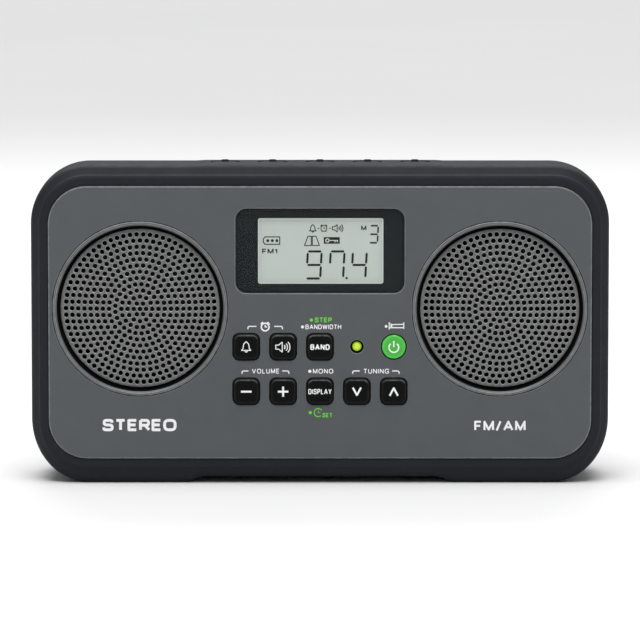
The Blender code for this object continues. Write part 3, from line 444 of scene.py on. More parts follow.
def surface(
    name, colour, roughness, metallic=0.0, specular=0.5, coat=0.0, alpha=1.0, painted_glow=0.0,
    mottle=0.06, mottle_scale=90.0, grain=0.02, grain_scale=2600.0, spread=0.06,
    worn_and_highlighted=None, worn_and_highlighted_share=0.5, dirt=0.0, stretch=None,
):
    """A procedural finish: colour that varies, fine grain, uneven roughness, edges that show wear and painted
    highlights, and a painted glow where asked for.
    """
    made = bpy.data.materials.new(name)
    made.use_nodes = True
    tree = made.node_tree
    nodes, links = tree.nodes, tree.links
    shader = nodes["Principled BSDF"]
    shader.inputs["Metallic"].default_value = metallic
    shader.inputs["Specular IOR Level"].default_value = specular
    shader.inputs["Coat Weight"].default_value = coat
    shader.inputs["Coat Roughness"].default_value = 0.08
    shader.inputs["Alpha"].default_value = alpha
    # Painted glow: emission that brightens the surface though it is no lamp.
    if painted_glow:
        shader.inputs["Emission Color"].default_value = (*colour, 1.0)
        shader.inputs["Emission Strength"].default_value = painted_glow
    where = nodes.new("ShaderNodeTexCoord")
    place = where.outputs["Object"]
    if stretch:
        mapping = nodes.new("ShaderNodeMapping")
        mapping.inputs["Scale"].default_value = stretch
        links.new(place, mapping.inputs["Vector"])
        place = mapping.outputs["Vector"]

    def clouds(*settings):
        made = nodes.new("ShaderNodeTexNoise")
        for socket, value in zip(("Scale", "Detail", "Roughness"), settings):
            made.inputs[socket].default_value = value
        links.new(place, made.inputs["Vector"])
        return made.outputs["Fac"]

    def remap(value, *limits):
        made = nodes.new("ShaderNodeMapRange")
        for socket, limit in zip(("From Min", "From Max", "To Min", "To Max"), limits):
            made.inputs[socket].default_value = limit
        links.new(value, made.inputs["Value"])
        return made.outputs["Result"]

    def mix(factor, first, second):
        made = nodes.new("ShaderNodeMix")
        made.data_type = "RGBA"
        for socket, value in ((made.inputs[0], factor), (made.inputs[6], first), (made.inputs[7], second)):
            if isinstance(value, tuple):
                socket.default_value = (*value, 1.0)
            elif isinstance(value, float):
                socket.default_value = value
            else:
                links.new(value, socket)
        return made.outputs[2]

    def multiply(first, second):
        made = nodes.new("ShaderNodeMath")
        made.operation = "MULTIPLY"
        made.use_clamp = True
        for socket, value in zip(made.inputs, (first, second)):
            if isinstance(value, float):
                socket.default_value = value
            else:
                links.new(value, socket)
        return made.outputs[0]

    broad = clouds(mottle_scale, 5.0, 0.6)
    fine = clouds(grain_scale, 3.0, 0.6)
    darker = tuple(value * (1 - mottle) for value in colour)
    lighter = tuple(min(1.0, value * (1 + mottle)) for value in colour)
    base = mix(remap(broad, 0.3, 0.7, 0.0, 1.0), darker, lighter)
    speckle = remap(fine, 0.35, 0.65, 0.0, mottle)
    base = mix(speckle, base, tuple(min(1.0, value * 1.6 + 0.01) for value in colour))
    rough = remap(clouds(mottle_scale * 2.3, 4.0, 0.65), 0.3, 0.7, roughness - spread, roughness + spread)
    # Marked edges take a lighter colour: wear, and a painted highlight where light would catch them.
    if worn_and_highlighted:
        edge = nodes.new("ShaderNodeAttribute")
        edge.attribute_name = "wear_and_highlight"
        patch = remap(clouds(420.0, 4.0, 0.7), 0.38, 0.62, 0.35, 1.0)
        amount = multiply(multiply(edge.outputs["Fac"], patch), worn_and_highlighted_share)
        base = mix(amount, base, worn_and_highlighted)
    if dirt:
        dust = remap(clouds(35.0, 8.0, 0.75), 0.52, 0.75, 0.0, dirt)
        base = mix(dust, base, tuple(min(1.0, value * 2.2 + 0.02) for value in colour))
    links.new(base, shader.inputs["Base Color"])
    links.new(rough, shader.inputs["Roughness"])
    if grain:
        bump = nodes.new("ShaderNodeBump")
        bump.inputs["Strength"].default_value = 1.0
        bump.inputs["Distance"].default_value = grain * MM
        links.new(fine, bump.inputs["Height"])
        links.new(bump.outputs["Normal"], shader.inputs["Normal"])
    return made


FINISHES = {
    # Its worn-and-highlighted grey paints highlights along the panel's rounded edges and the rims of its
    # openings.
    "panel": surface(
        "panel_grey", (0.081, 0.0895, 0.093), 0.46, specular=0.25, mottle=0.035, grain=0.05,
        grain_scale=3200.0, worn_and_highlighted=(0.3, 0.31, 0.315), worn_and_highlighted_share=0.65, dirt=0.04,
    ),
    # Its worn-and-highlighted charcoal paints a highlight along the band's ridge, lightens the front lip and
    # the preset rims, and marks wear on the feet.
    "rubber": surface(
        "rubber_charcoal", (0.0165, 0.0178, 0.0225), 0.6, specular=0.08, mottle=0.08, mottle_scale=60.0,
        grain=0.07, grain_scale=2400.0, worn_and_highlighted=(0.034, 0.036, 0.042), worn_and_highlighted_share=0.25, dirt=0.08,
    ),
    # Its worn-and-highlighted grey paints bright highlights on the grille's rim and on the lip of each hole.
    "grille": surface(
        "grille_grey", (0.16, 0.163, 0.161), 0.38, metallic=0.45, specular=0.4, mottle=0.05, grain=0.03,
        worn_and_highlighted=(0.66, 0.67, 0.66), worn_and_highlighted_share=0.7, dirt=0.03,
    ),
    # Its worn-and-highlighted grey paints highlights on the ring's rounded corners.
    "bezel": surface(
        "bezel_grey", (0.092, 0.097, 0.099), 0.36, specular=0.45, mottle=0.04, grain=0.03,
        worn_and_highlighted=(0.4, 0.41, 0.41), worn_and_highlighted_share=0.75,
    ),
    "case": surface(
        "case_black", (0.022, 0.023, 0.026), 0.5, specular=0.4, mottle=0.07, grain=0.08, grain_scale=2000.0,
        worn_and_highlighted=(0.06, 0.062, 0.066), worn_and_highlighted_share=0.5, dirt=0.1,
    ),
    "case_light": surface("case_grey", (0.09, 0.092, 0.095), 0.5, specular=0.3, mottle=0.06, grain=0.05),
    # Its worn-and-highlighted colour paints a thin highlight along the top of each key's border.
    "key": surface(
        "key_black", (0.0036, 0.0037, 0.0039), 0.4, specular=0.06, mottle=0.06, grain=0.02,
        worn_and_highlighted=(0.2, 0.2, 0.205), worn_and_highlighted_share=0.55,
    ),
    # Painted glow brightens the green; the worn-and-highlighted green lightens the rounded rim with wear and
    # painted highlight.
    "green": surface(
        "key_green", (0.03, 0.37, 0.02), 0.34, specular=0.5, mottle=0.05, grain=0.015, coat=0.2,
        worn_and_highlighted=(0.25, 0.75, 0.3), worn_and_highlighted_share=0.4, painted_glow=0.16,
    ),
    # Painted glow brightens the lens.
    "lens": surface(
        "lens_green", (0.42, 0.62, 0.02), 0.12, specular=0.6, mottle=0.08, mottle_scale=500.0, grain=0.0,
        coat=0.8, painted_glow=0.35,
    ),
    "window": surface(
        "window_clear", (0.02, 0.026, 0.027), 0.06, specular=0.25, mottle=0.05, grain=0.0, spread=0.02,
        alpha=0.1,
    ),
    "mask": surface("mask_black", (0.011, 0.0145, 0.0155), 0.4, specular=0.15, mottle=0.05, grain=0.01),
    # Painted glow brightens the display's grey beyond what the lamps give it.
    "lcd": surface(
        "lcd_grey", (0.43, 0.475, 0.44), 0.35, specular=0.3, mottle=0.02, mottle_scale=30.0, grain=0.004,
        spread=0.03, painted_glow=0.56,
    ),
    # A glowing strip: painted highlight along the edge of the view.
    "lcd_painted_edge": surface(
        "lcd_painted_highlight", (0.62, 0.66, 0.63), 0.4, specular=0.3, mottle=0.02, grain=0.0, painted_glow=0.55,
    ),
    # Black put where there is only shade: the bezels' walls and grooves, the flanges behind the power key and
    # the lens, and the speaker frames.
    "painted_shade": surface("painted_shade_black", (0.0035, 0.0035, 0.0037), 0.8, specular=0.05, mottle=0.1, grain=0.05),
    "mark": surface("lcd_mark", (0.017, 0.02, 0.02), 0.5, specular=0.2, mottle=0.04, grain=0.0),
    "diffuser": surface("diffuser_white", (0.8, 0.82, 0.8), 0.55, mottle=0.02, grain=0.01),
    "white": surface(
        "print_white", (0.83, 0.84, 0.84), 0.5, specular=0.3, mottle=0.04, mottle_scale=400.0, grain=0.01,
    ),
    # Painted glow brightens the green print.
    "lime": surface(
        "print_green", (0.13, 0.58, 0.045), 0.5, specular=0.3, mottle=0.05, mottle_scale=400.0, grain=0.01,
        painted_glow=0.05,
    ),
    "board": surface(
        "board_green", (0.02, 0.13, 0.055), 0.42, mottle=0.12, mottle_scale=240.0, grain=0.03,
        grain_scale=900.0, coat=0.3,
    ),
    "ferrite": surface("ferrite_grey", (0.03, 0.03, 0.032), 0.7, mottle=0.15, grain=0.08),
    "copper": surface(
        "copper_wire", (0.72, 0.34, 0.15), 0.32, metallic=1.0, mottle=0.1, stretch=(9.0, 1.0, 1.0),
    ),
    "cone": surface("cone_paper", (0.009, 0.009, 0.009), 0.88, mottle=0.2, mottle_scale=260.0, grain=0.12),
    "steel": surface(
        "steel_plain", (0.6, 0.6, 0.61), 0.3, metallic=1.0, mottle=0.07, mottle_scale=300.0, grain=0.015,
        dirt=0.05, worn_and_highlighted=(0.8, 0.8, 0.81), worn_and_highlighted_share=0.4,
    ),
    "chrome": surface(
        "chrome_bright", (0.58, 0.58, 0.6), 0.13, metallic=1.0, mottle=0.03, mottle_scale=150.0, grain=0.006,
        grain_scale=900.0, spread=0.05, stretch=(0.1, 1.0, 1.0), worn_and_highlighted=(0.72, 0.72, 0.73), worn_and_highlighted_share=0.3,
    ),
    "wrap": surface(
        "cell_blue", (0.045, 0.11, 0.27), 0.3, metallic=0.3, mottle=0.06, grain=0.01, coat=0.4,
        worn_and_highlighted=(0.3, 0.35, 0.45),
    ),
    "band": surface("cell_gold", (0.75, 0.52, 0.2), 0.28, metallic=0.9, mottle=0.05, grain=0.01, coat=0.3),
    "floor": surface(
        "floor_pale", (0.78, 0.78, 0.775), 0.8, specular=0.15, mottle=0.01, mottle_scale=2.0, grain=0.0,
    ),
}


# ---- Printed marks: flat regions in (x, z), as points and triangles ----


def cover(positives, negatives=()):
    """The union of some polygons, less others, as points and triangles."""
    points, faces = [], []
    for polygon in [*positives, *negatives]:
        area = sum(a[0] * b[1] - b[0] * a[1] for a, b in zip(polygon, [*polygon[1:], polygon[0]]))
        outline = polygon if area > 0 else polygon[::-1]
        faces.append(list(range(len(points), len(points) + len(outline))))
        points += [Vector(point) for point in outline]
    verts, _, triangles, _, _, owners = delaunay_2d_cdt(points, [], faces, 1, 1e-5)
    kept = []
    for triangle, owner in zip(triangles, owners):
        inside = any(number < len(positives) for number in owner)
        if inside and not any(number >= len(positives) for number in owner):
            kept.append(list(triangle))
    return [tuple(vert) for vert in verts], kept


def bar(start, end, width):
    """A straight stroke as one polygon."""
    along = Vector(end) - Vector(start)
    side = Vector((-along.y, along.x)).normalized() * width / 2
    a, b = Vector(start), Vector(end)
    return [tuple(a - side), tuple(b - side), tuple(b + side), tuple(a + side)]


def stroke(path, width, closed=False):
    """A bent stroke as polygons: a bar for each run and a disc at each joint."""
    pairs = list(zip(path, path[1:]))
    if closed:
        pairs.append((path[-1], path[0]))
    polygons = [bar(a, b, width) for a, b in pairs]
    joints = path if closed else path[1:-1]
    return polygons + [circle(width / 2, joint, 10) for joint in joints]


def arc_points(centre, radius, start, end, steps):
    """Points on an arc between two angles in degrees."""
    angles = [math.radians(start + (end - start) * step / steps) for step in range(steps + 1)]
    return [(centre[0] + radius * math.cos(a), centre[1] + radius * math.sin(a)) for a in angles]


def arc(centre, radius, start, end, width, steps=14):
    outer = arc_points(centre, radius + width / 2, start, end, steps)
    inner = arc_points(centre, radius - width / 2, start, end, steps)
    return outer + inner[::-1]


# Each letter as a width and its strokes, where the cap height is 1. A third number rounds that corner.
GLYPHS = {
    "A": (0.74, [[(0, 0), (0.37, 1), (0.74, 0)], [(0.13, 0.33), (0.61, 0.33)]]),
    "B": (0.6, [
        [(0, 0), (0.6, 0, 0.25), (0.6, 0.53, 0.22), (0, 0.53)],
        [(0, 0.53), (0.56, 0.53, 0.22), (0.56, 1, 0.22), (0, 1)],
        [(0, 0), (0, 1)],
    ]),
    "D": (0.64, [[(0, 0), (0.64, 0, 0.4), (0.64, 1, 0.4), (0, 1)], [(0, 0), (0, 1)]]),
    "E": (0.52, [[(0.52, 0), (0, 0), (0, 1), (0.52, 1)], [(0, 0.52), (0.47, 0.52)]]),
    "F": (0.5, [[(0, 0), (0, 1), (0.5, 1)], [(0, 0.5), (0.44, 0.5)]]),
    "G": (0.68, [
        [(0.68, 0.78), (0.68, 1, 0.38), (0, 1, 0.4), (0, 0, 0.4), (0.68, 0, 0.3), (0.68, 0.47), (0.38, 0.47)],
    ]),
    "H": (0.62, [[(0, 0), (0, 1)], [(0.62, 0), (0.62, 1)], [(0, 0.52), (0.62, 0.52)]]),
    "I": (0.0, [[(0, 0), (0, 1)]]),
    "L": (0.48, [[(0, 1), (0, 0), (0.48, 0)]]),
    "M": (0.76, [[(0, 0), (0, 1), (0.38, 0.06), (0.76, 1), (0.76, 0)]]),
    "N": (0.62, [[(0, 0), (0, 1), (0.62, 0), (0.62, 1)]]),
    "O": (0.74, [[(0, 0, 0.42), (0.74, 0, 0.42), (0.74, 1, 0.42), (0, 1, 0.42), "closed"]]),
    "P": (0.56, [[(0, 0), (0, 1)], [(0, 1), (0.56, 1, 0.26), (0.56, 0.45, 0.26), (0, 0.45)]]),
    "R": (0.58, [
        [(0, 0), (0, 1)],
        [(0, 1), (0.56, 1, 0.25), (0.56, 0.48, 0.25), (0, 0.48)],
        [(0.32, 0.48), (0.6, 0)],
    ]),
    "S": (0.58, [[
        (0.56, 0.76), (0.56, 1, 0.26), (0.02, 1, 0.26), (0.02, 0.54, 0.24),
        (0.58, 0.5, 0.24), (0.58, 0, 0.26), (0, 0, 0.26), (0, 0.25),
    ]]),
    "T": (0.58, [[(0, 1), (0.58, 1)], [(0.29, 0), (0.29, 1)]]),
    "U": (0.62, [[(0, 1), (0, 0, 0.34), (0.62, 0, 0.34), (0.62, 1)]]),
    "V": (0.7, [[(0, 1), (0.35, 0), (0.7, 1)]]),
    "W": (1.0, [[(0, 1), (0.25, 0), (0.5, 0.96), (0.75, 0), (1, 1)]]),
    "Y": (0.66, [[(0, 1), (0.33, 0.48), (0.66, 1)], [(0.33, 0), (0.33, 0.48)]]),
    "1": (0.24, [[(0, 0.74), (0.24, 0.98)], [(0.24, 0), (0.24, 1)]]),
    "/": (0.34, [[(0, -0.06), (0.34, 1.06)]]),
}


def lettering(text, area, thick, apart=0.45):
    """Plain capitals drawn with even strokes, fitted to an area of (low x, low z, high x, high z)."""
    low_x, low_z, high_x, high_z = area
    tall = high_z - low_z - thick
    glyphs = [GLYPHS[letter] for letter in text]
    fixed = (thick + apart) * len(glyphs) - apart
    wide = (high_x - low_x - fixed) / sum(width for width, _ in glyphs)
    left = low_x + thick / 2
    polygons = []
    for width, paths in glyphs:
        for path in paths:
            closed = path[-1] == "closed"
            corners = [point for point in path if point != "closed"]
            sized = []
            for point in corners:
                reach = (point[2] if len(point) > 2 else 0.001) * tall
                sized.append((left + point[0] * wide, low_z + thick / 2 + point[1] * tall, reach))
            points = [(x, z) for x, z, _ in soften(sized, 0.001, 5, closed)]
            tidy = [points[0]]
            for point in points[1:]:
                if math.dist(point, tidy[-1]) > 0.01:
                    tidy.append(point)
            polygons += stroke(tidy, thick, closed)
        left += width * wide + thick + apart
    return cover(polygons)


def print_marks(shape, regions, plane_y, proud=0.05, sunk=0.03, centre=(0.0, 0.0), slot=0):
    """Raises flat regions a hair off a plane that faces the front, as closed thin solids."""
    for points, faces in regions:
        used = sorted({index for face in faces for index in face})
        spot = {index: number for number, index in enumerate(used)}
        placed = [(points[index][0] + centre[0], points[index][1] + centre[1]) for index in used]
        front = shape.flat(placed, plane_y - proud)
        back = shape.flat(placed, plane_y + sunk)
        edges = set()
        for face in faces:
            corners = [spot[index] for index in face]
            shape.face([front[i] for i in corners], slot)
            shape.face([back[i] for i in reversed(corners)], slot)
            edges |= {(a, b) for a, b in zip(corners, [*corners[1:], corners[0]])}
        for a, b in edges:
            if (b, a) not in edges:
                shape.face([front[b], front[a], back[a], back[b]], slot)
    return shape


SIGN_STROKE = 0.42
BRACKET_STROKE = 0.48


def bell(size=1.0):
    """An alarm bell in outline, about its own middle."""
    half = [(0.0, 2.45), (0.45, 2.1), (1.05, 1.4), (1.3, 0.5), (1.4, -0.6), (2.05, -1.5)]
    path = [(-x, z) for x, z in reversed(half[1:])] + half
    path = [(x * size, z * size) for x, z in path]
    clapper = arc((0.0, -1.7 * size), 0.55 * size, 180, 360, SIGN_STROKE)
    return cover([*stroke(path, SIGN_STROKE, closed=True), clapper])


def loudspeaker(scale):
    """A loudspeaker with sound waves, about its own middle."""
    path = [(-3.4, -0.95), (-3.4, 0.95), (-2.1, 0.95), (-0.4, 2.3), (-0.4, -2.3), (-2.1, -0.95)]
    polygons = stroke([(x * scale, z * scale) for x, z in path], SIGN_STROKE, closed=True)
    start = (-0.4 * scale, 0.0)
    for radius, boldness in ((1.3, 1.25), (2.45, 1.0), (3.6, 1.0)):
        polygons.append(arc(start, radius * scale, -42, 42, SIGN_STROKE * boldness))
    return cover(polygons)


def clock_face(radius, width, ears=False, feet=False, opened=False):
    """A clock with hands. An alarm clock has ears, and a clock that is set is open at its lower right."""
    if opened:
        rim = cover([arc((0.0, 0.0), radius, 35, 310, width, 30)])
    else:
        rim = cover([circle(radius + width / 2, steps=32)], [circle(radius - width / 2, steps=32)])
    extra = stroke([(0.0, radius * 0.55), (0.0, 0.0), (radius * 0.5, 0.0)], width * 0.8)
    for side in (-1, 1):
        if ears:
            start = (side * radius * 0.55, radius * 1.28)
            extra.append(bar(start, (side * radius * 1.15, radius * 0.72), width))
        if feet:
            heel = (side * radius * 0.6, -radius * 0.9)
            extra.append(bar(heel, (side * radius * 0.85, -radius * 1.3), width * 0.8))
    return [rim, cover(extra)]


def shifted(region, x, z):
    points, faces = region
    return [(point[0] + x, point[1] + z) for point in points], faces


def dot(x, z, radius):
    return cover([circle(radius, (x, z), 24)])


def bracket(outer_x, inner_x, top_z, foot_z):
    """A line that runs out from a label and turns down at its outer end."""
    side = 1 if outer_x > inner_x else -1
    corner = 0.7
    path = [(outer_x, foot_z)]
    for step in range(5):
        angle = math.pi / 2 * step / 4
        path.append((outer_x - side * corner * (1 - math.cos(angle)), top_z - corner * (1 - math.sin(angle))))
    return cover(stroke([*path, (inner_x, top_z)], BRACKET_STROKE))


# ---- Front cabinet and its prints ----


def round_hole(node, radius, steps=ROUND_STEPS):
    """A round opening about a node, as a function that gives its outline grown by a margin."""
    place = middle(node)
    return lambda grow: circle(radius + grow, (place.x, place.z), steps)


def square_hole(node, width, height, radius, steps=8):
    """The same for a rectangle with round corners."""
    centre = (middle(node).x, middle(node).z)
    return lambda grow: rounded_rect(width + 2 * grow, height + 2 * grow, radius + grow, centre, steps)


def panel_holes():
    """Each opening in the front panel, as the rounding of its rim and its outline."""
    key = KEY_SIZE + 2 * KEY_GAP
    low, high = span("display_window")
    window = (high.x - low.x + 2 * GAP, high.z - low.z + 2 * GAP, WINDOW_RADIUS + GAP)
    return [
        *[(0.3, round_hole(f"speaker_bezel_{side}", BEZEL_RADIUS + GAP)) for side in SPEAKERS],
        *[(0.3, square_hole(name, key, key, KEY_RADIUS + KEY_GAP)) for name in SQUARE_KEYS],
        (0.35, round_hole("power_key", POWER_HOLE, 64)),
        (0.35, round_hole("indicator_lens", LENS_HOLE, 64)),
        (0.55, square_hole("display_window", *window, 12)),
    ]


def make_front_cabinet():
    shape = Shape()
    outer = []
    # The rounded outer edge, like the opening rims below, carries a painted highlight.
    for inset, drop, wear_and_highlight in round_edge(0.8):
        outer.append(shape.flat(panel_outline(-inset), FACE_Y + drop, wear_and_highlight))
    walls = (
        (0.0, FRONT_SHOULDER_Y),
        (PANEL_TUCK, FRONT_SHOULDER_Y),
        (PANEL_TUCK, SPLIT_Y),
        (PANEL_TUCK - WALL, SPLIT_Y),
        (PANEL_TUCK - WALL, FRONT_SHOULDER_Y + WALL),
        (-RIM_INSET, FRONT_SHOULDER_Y + WALL),
        (-RIM_INSET, INNER_FACE_Y),
    )
    for offset, y in walls:
        outer.append(shape.flat(panel_outline(offset), y))
    shape.skin(outer)
    front, back = [outer[0]], [outer[-1]]
    for rim, outline in panel_holes():
        rings = []
        for inset, drop, wear_and_highlight in round_edge(rim, 3):
            rings.append(shape.flat(outline(inset), FACE_Y + drop, wear_and_highlight))
        rings.append(shape.flat(outline(0.0), INNER_FACE_Y))
        shape.skin(rings)
        front.append(rings[0])
        back.append(rings[-1])
    shape.fill(front)
    shape.fill(back)
    for name in SCREWS:
        place = middle(name)
        post = ((1.5, INNER_FACE_Y), (4.0, INNER_FACE_Y), (4.0, SPLIT_Y - 0.5), (1.5, SPLIT_Y - 0.5))
        shape.lathe(post, (place.x, 0.0, place.z), steps=24, closed=True)
    piece("front_panel_and_shell", shape, "cabinet", ["front_cabinet"], "panel_grey", "panel")


def make_panel_prints():
    """White and green labels round the keys. They are generic words and signs."""
    white = [
        bracket(-32.6, -28.8, 71.9, 70.6),
        bracket(-17.0, -20.7, 71.9, 70.6),
        *[shifted(region, -24.8, 71.6) for region in clock_face(1.75, 0.62, ears=True)],
        dot(-7.9, 71.65, 0.7),
        lettering("BANDWIDTH", (-6.6, 70.6, 9.6, 72.75), 0.34, 0.32),
        dot(29.9, 71.9, 0.62),
        *bed_sign(34.6, 72.1),
        bracket(-35.3, -32.4, 51.6, 50.3),
        lettering("VOLUME", (-30.8, 50.4, -18.4, 52.65), 0.36, 0.46),
        bracket(-14.1, -17.1, 51.6, 50.3),
        dot(-4.6, 51.45, 0.72),
        lettering("MONO", (-3.2, 50.4, 6.0, 52.6), 0.37, 0.46),
        bracket(14.8, 18.0, 51.6, 50.3),
        lettering("TUNING", (19.7, 50.4, 31.2, 52.6), 0.36, 0.46),
        bracket(35.8, 32.7, 51.6, 50.3),
        lettering("STEREO", (-98.6, 24.1, -65.0, 29.7), 1.3, 0.6),
        lettering("FM/AM", (69.9, 24.2, 93.2, 28.9), 0.92, 0.75),
    ]
    green = [
        dot(-3.9, 74.8, 0.72),
        lettering("STEP", (-2.4, 73.75, 5.4, 75.95), 0.46, 0.3),
        dot(-4.4, 32.6, 0.72),
        *[shifted(region, -0.8, 32.6) for region in clock_face(1.85, 0.42, opened=True)],
        lettering("SET", (1.1, 30.4, 5.6, 32.4), 0.4, 0.24),
    ]
    for colour, regions, ink in (("white", white, "white"), ("green", green, "lime")):
        shape = print_marks(Shape(), regions, FACE_Y)
        piece(f"panel_print_{colour}", shape, "cabinet", [], "panel_grey", ink, weighted=False)


def bed_sign(x, z):
    """A bed seen from its side, with a post at each end, a mattress, a cover and a pillow."""
    polygons = [
        bar((x - 3.3, z + 1.75), (x - 3.3, z - 1.6), 0.45),
        bar((x + 3.3, z + 1.6), (x + 3.3, z - 1.4), 0.42),
        bar((x - 3.3, z - 0.8), (x + 3.3, z - 0.8), 0.5),
        bar((x - 1.4, z + 0.62), (x + 3.3, z + 0.78), 0.42),
        bar((x - 2.9, z + 0.95), (x - 1.3, z + 0.5), 0.42),
        circle(0.5, (x - 2.3, z + 0.02), 14),
    ]
    return [cover(polygons)]


# ---- Keys ----


def key_signs():
    """What each key shows, about its own middle."""
    return {
        "alarm_buzzer_key": [bell()],
        "alarm_radio_key": [loudspeaker(0.97)],
        "band_key": [lettering("BAND", (-4.4, -1.3, 4.4, 1.3), 0.56, 0.3)],
        "volume_down_key": [cover([bar((-2.4, 0.0), (2.4, 0.0), 0.9)])],
        "volume_up_key": [cover([bar((-2.4, 0.0), (2.4, 0.0), 0.9), bar((0.0, -2.3), (0.0, 2.3), 0.9)])],
        "display_key": [lettering("DISPLAY", (-5.3, -1.2, 5.3, 1.25), 0.42, 0.24)],
        "tuning_down_key": [cover(stroke([(-1.85, 1.85), (0.0, -1.6), (1.85, 1.85)], 0.85))],
        "tuning_up_key": [cover(stroke([(-1.85, -1.85), (0.0, 1.6), (1.85, -1.85)], 0.85))],
    }


def make_square_keys():
    """Rounded caps with a sloping border, each with its flange behind the panel."""
    signs = key_signs()
    # Each step of the border as inset, drop and its share of painted highlight.
    slope = (
        (1.7, 0.0, 0.0), (1.25, 0.005, 0.1), (1.0, 0.05, 0.95), (0.8, 0.16, 1.0), (0.6, 0.3, 0.2),
        (0.35, 0.46, 0.0), (0.15, 0.62, 0.0), (0.04, 0.82, 0.15), (0.0, 1.1, 0.0),
    )
    for name in SQUARE_KEYS:
        low, high = span(name)
        place = ((low.x + high.x) / 2, (low.z + high.z) / 2)
        shape = Shape()

        def outline(inset, size=KEY_SIZE, radius=KEY_RADIUS, place=place):
            return rounded_rect(size - 2 * inset, size - 2 * inset, radius - inset * 0.75, place, 10)

        rings = []
        for inset, drop, wear_and_highlight in slope:
            rings.append(shape.flat(outline(inset), low.y + drop))
            # Painted highlight mostly along the top edge, where light from above would catch the border.
            for index in rings[-1]:
                above = (shape.points[index][2] - place[1]) / (KEY_SIZE / 2)
                shape.wear_and_highlight[index] = wear_and_highlight * (0.12 + 0.88 * ease((above - 0.55) * 4))
        flange = KEY_SIZE + KEY_FLANGE + KEY_FIT
        for size, y in ((KEY_SIZE, INNER_FACE_Y + GAP), (flange, INNER_FACE_Y + GAP), (flange, high.y)):
            rings.append(shape.flat(outline(0.0, size), y))
        shape.close(rings)
        print_marks(shape, signs[name], low.y, centre=place, slot=1)
        piece(f"{name}_cap", shape, name, [name], "key_black", "key", "white")


def make_power_key():
    low, high = span("power_key")
    place = middle("power_key")
    r = POWER_RADIUS
    dish = 0.25
    flange, flange_y = POWER_HOLE + 0.8, INNER_FACE_Y + GAP
    profile = [
        (0.0, low.y + dish), (r * 0.45, low.y + dish * 0.85), (r * 0.72, low.y + dish * 0.3),
        (r - 0.75, low.y, 0.5), (r - 0.35, low.y + 0.12, 0.9), (r - 0.1, low.y + 0.38, 0.6),
        (r, low.y + 0.8), (r, flange_y), (flange, flange_y), (flange, high.y), (0.0, high.y),
    ]
    shape = Shape()
    # The flange behind the panel is painted shade black.
    slots = [0] * 7 + [2] * 3
    shape.lathe(profile, (place.x, 0.0, place.z), steps=64, slots=slots)
    sign = [cover([arc((0.0, -0.25), 2.2, -230, 50, 0.6, 36)]), cover([bar((0.0, -0.1), (0.0, 2.75), 0.6)])]
    print_marks(shape, sign, low.y + dish - 0.05, proud=0.08, sunk=0.3, centre=(place.x, place.z), slot=1)
    piece("power_key_cap", shape, "power_key", ["power_key"], "key_green", "green", "white", "painted_shade")


def make_lens():
    low, high = span("indicator_lens")
    place = middle("indicator_lens")
    r = LENS_RADIUS
    profile = []
    steps = 10
    for step in range(steps + 1):
        angle = math.pi / 2 * step / steps
        profile.append((r * math.sin(angle), low.y + 1.7 * (1 - math.cos(angle))))
    # The flange behind the dome is painted shade black.
    slots = [0] * steps + [0, 1, 1, 1]
    flange, flange_y = LENS_HOLE + 1.0, INNER_FACE_Y + GAP
    profile += [(r, flange_y), (flange, flange_y), (flange, high.y), (0.0, high.y)]
    shape = Shape().lathe(profile, (place.x, 0.0, place.z), steps=48, slots=slots)
    piece("indicator_lens_dome", shape, "cabinet", ["indicator_lens"], "lens_green", "lens", "painted_shade")


def make_presets():
    """Round rubber caps in the bumper, each on a stem, with a raised bar to find it by touch."""
    for name in PRESETS:
        low, high = span(name)
        place = middle(name)
        radius = (high.x - low.x) / 2
        crown = high.z - 1.0
        skirt = FRONT_HIGH.z + GAP + 1.0
        profile = [
            (0.0, crown), (radius * 0.4, crown - 0.02), (radius * 0.7, crown - 0.1),
            (radius - 0.9, crown - 0.22, 0.2), (radius - 0.45, crown - 0.34, 0.8),
            (radius - 0.12, crown - 0.6, 0.8), (radius, crown - 1.0),
            (radius, skirt), (2.5, skirt), (2.5, low.z), (0.0, low.z),
        ]
        shape = Shape().lathe(profile, (place.x, place.y, 0.0), "Z", 64)
        shape.add(touch_bar((place.x, place.y, crown - 0.15), 3.6, 1.7, 1.15))
        piece(f"{name}_cap", shape, name, [name], "rubber", "rubber")


def touch_bar(base, length, width, height):
    """A low pill-shaped bar with a round top."""
    shape = Shape()
    rings = []
    steps = 5
    for step in range(steps + 1):
        angle = math.pi / 2 * step / steps
        inset = 0.6 * (1 - math.cos(angle))
        outline = rounded_rect(length - 2 * inset, width - 2 * inset, width / 2 - inset, base[:2], 8)
        z = base[2] + height * math.sin(angle)
        rings.append(shape.ring([(x, y, z) for x, y in outline], math.sin(angle)))
    return shape.close(rings)


# ---- Speakers ----

HOLE_COUNTS = (6, 12, 18, 25, 30, 36, 42, 48, 54, 58, 64, 70)
HOLE_PITCH = 2.8
HOLE_RADIUS = 1.09
HOLE_SIDES = 14
GRILLE_THICK = 1.2
GRILLE_RIM = 35.05


def dome_y(radius, depth, node):
    """The grille's surface at a radius: a shallow sphere from its rim to its crown."""
    low, high = span(node)
    sag = high.y - low.y - GRILLE_THICK
    ball = (GRILLE_RADIUS**2 + sag**2) / (2 * sag)
    return low.y + ball - math.sqrt(ball**2 - radius**2) + depth


def grille_holes():
    holes = [(0.0, 0.0)]
    for ring, count in enumerate(HOLE_COUNTS, 1):
        for index in range(count):
            angle = math.tau * index / count
            holes.append((ring * HOLE_PITCH * math.cos(angle), ring * HOLE_PITCH * math.sin(angle)))
    return holes


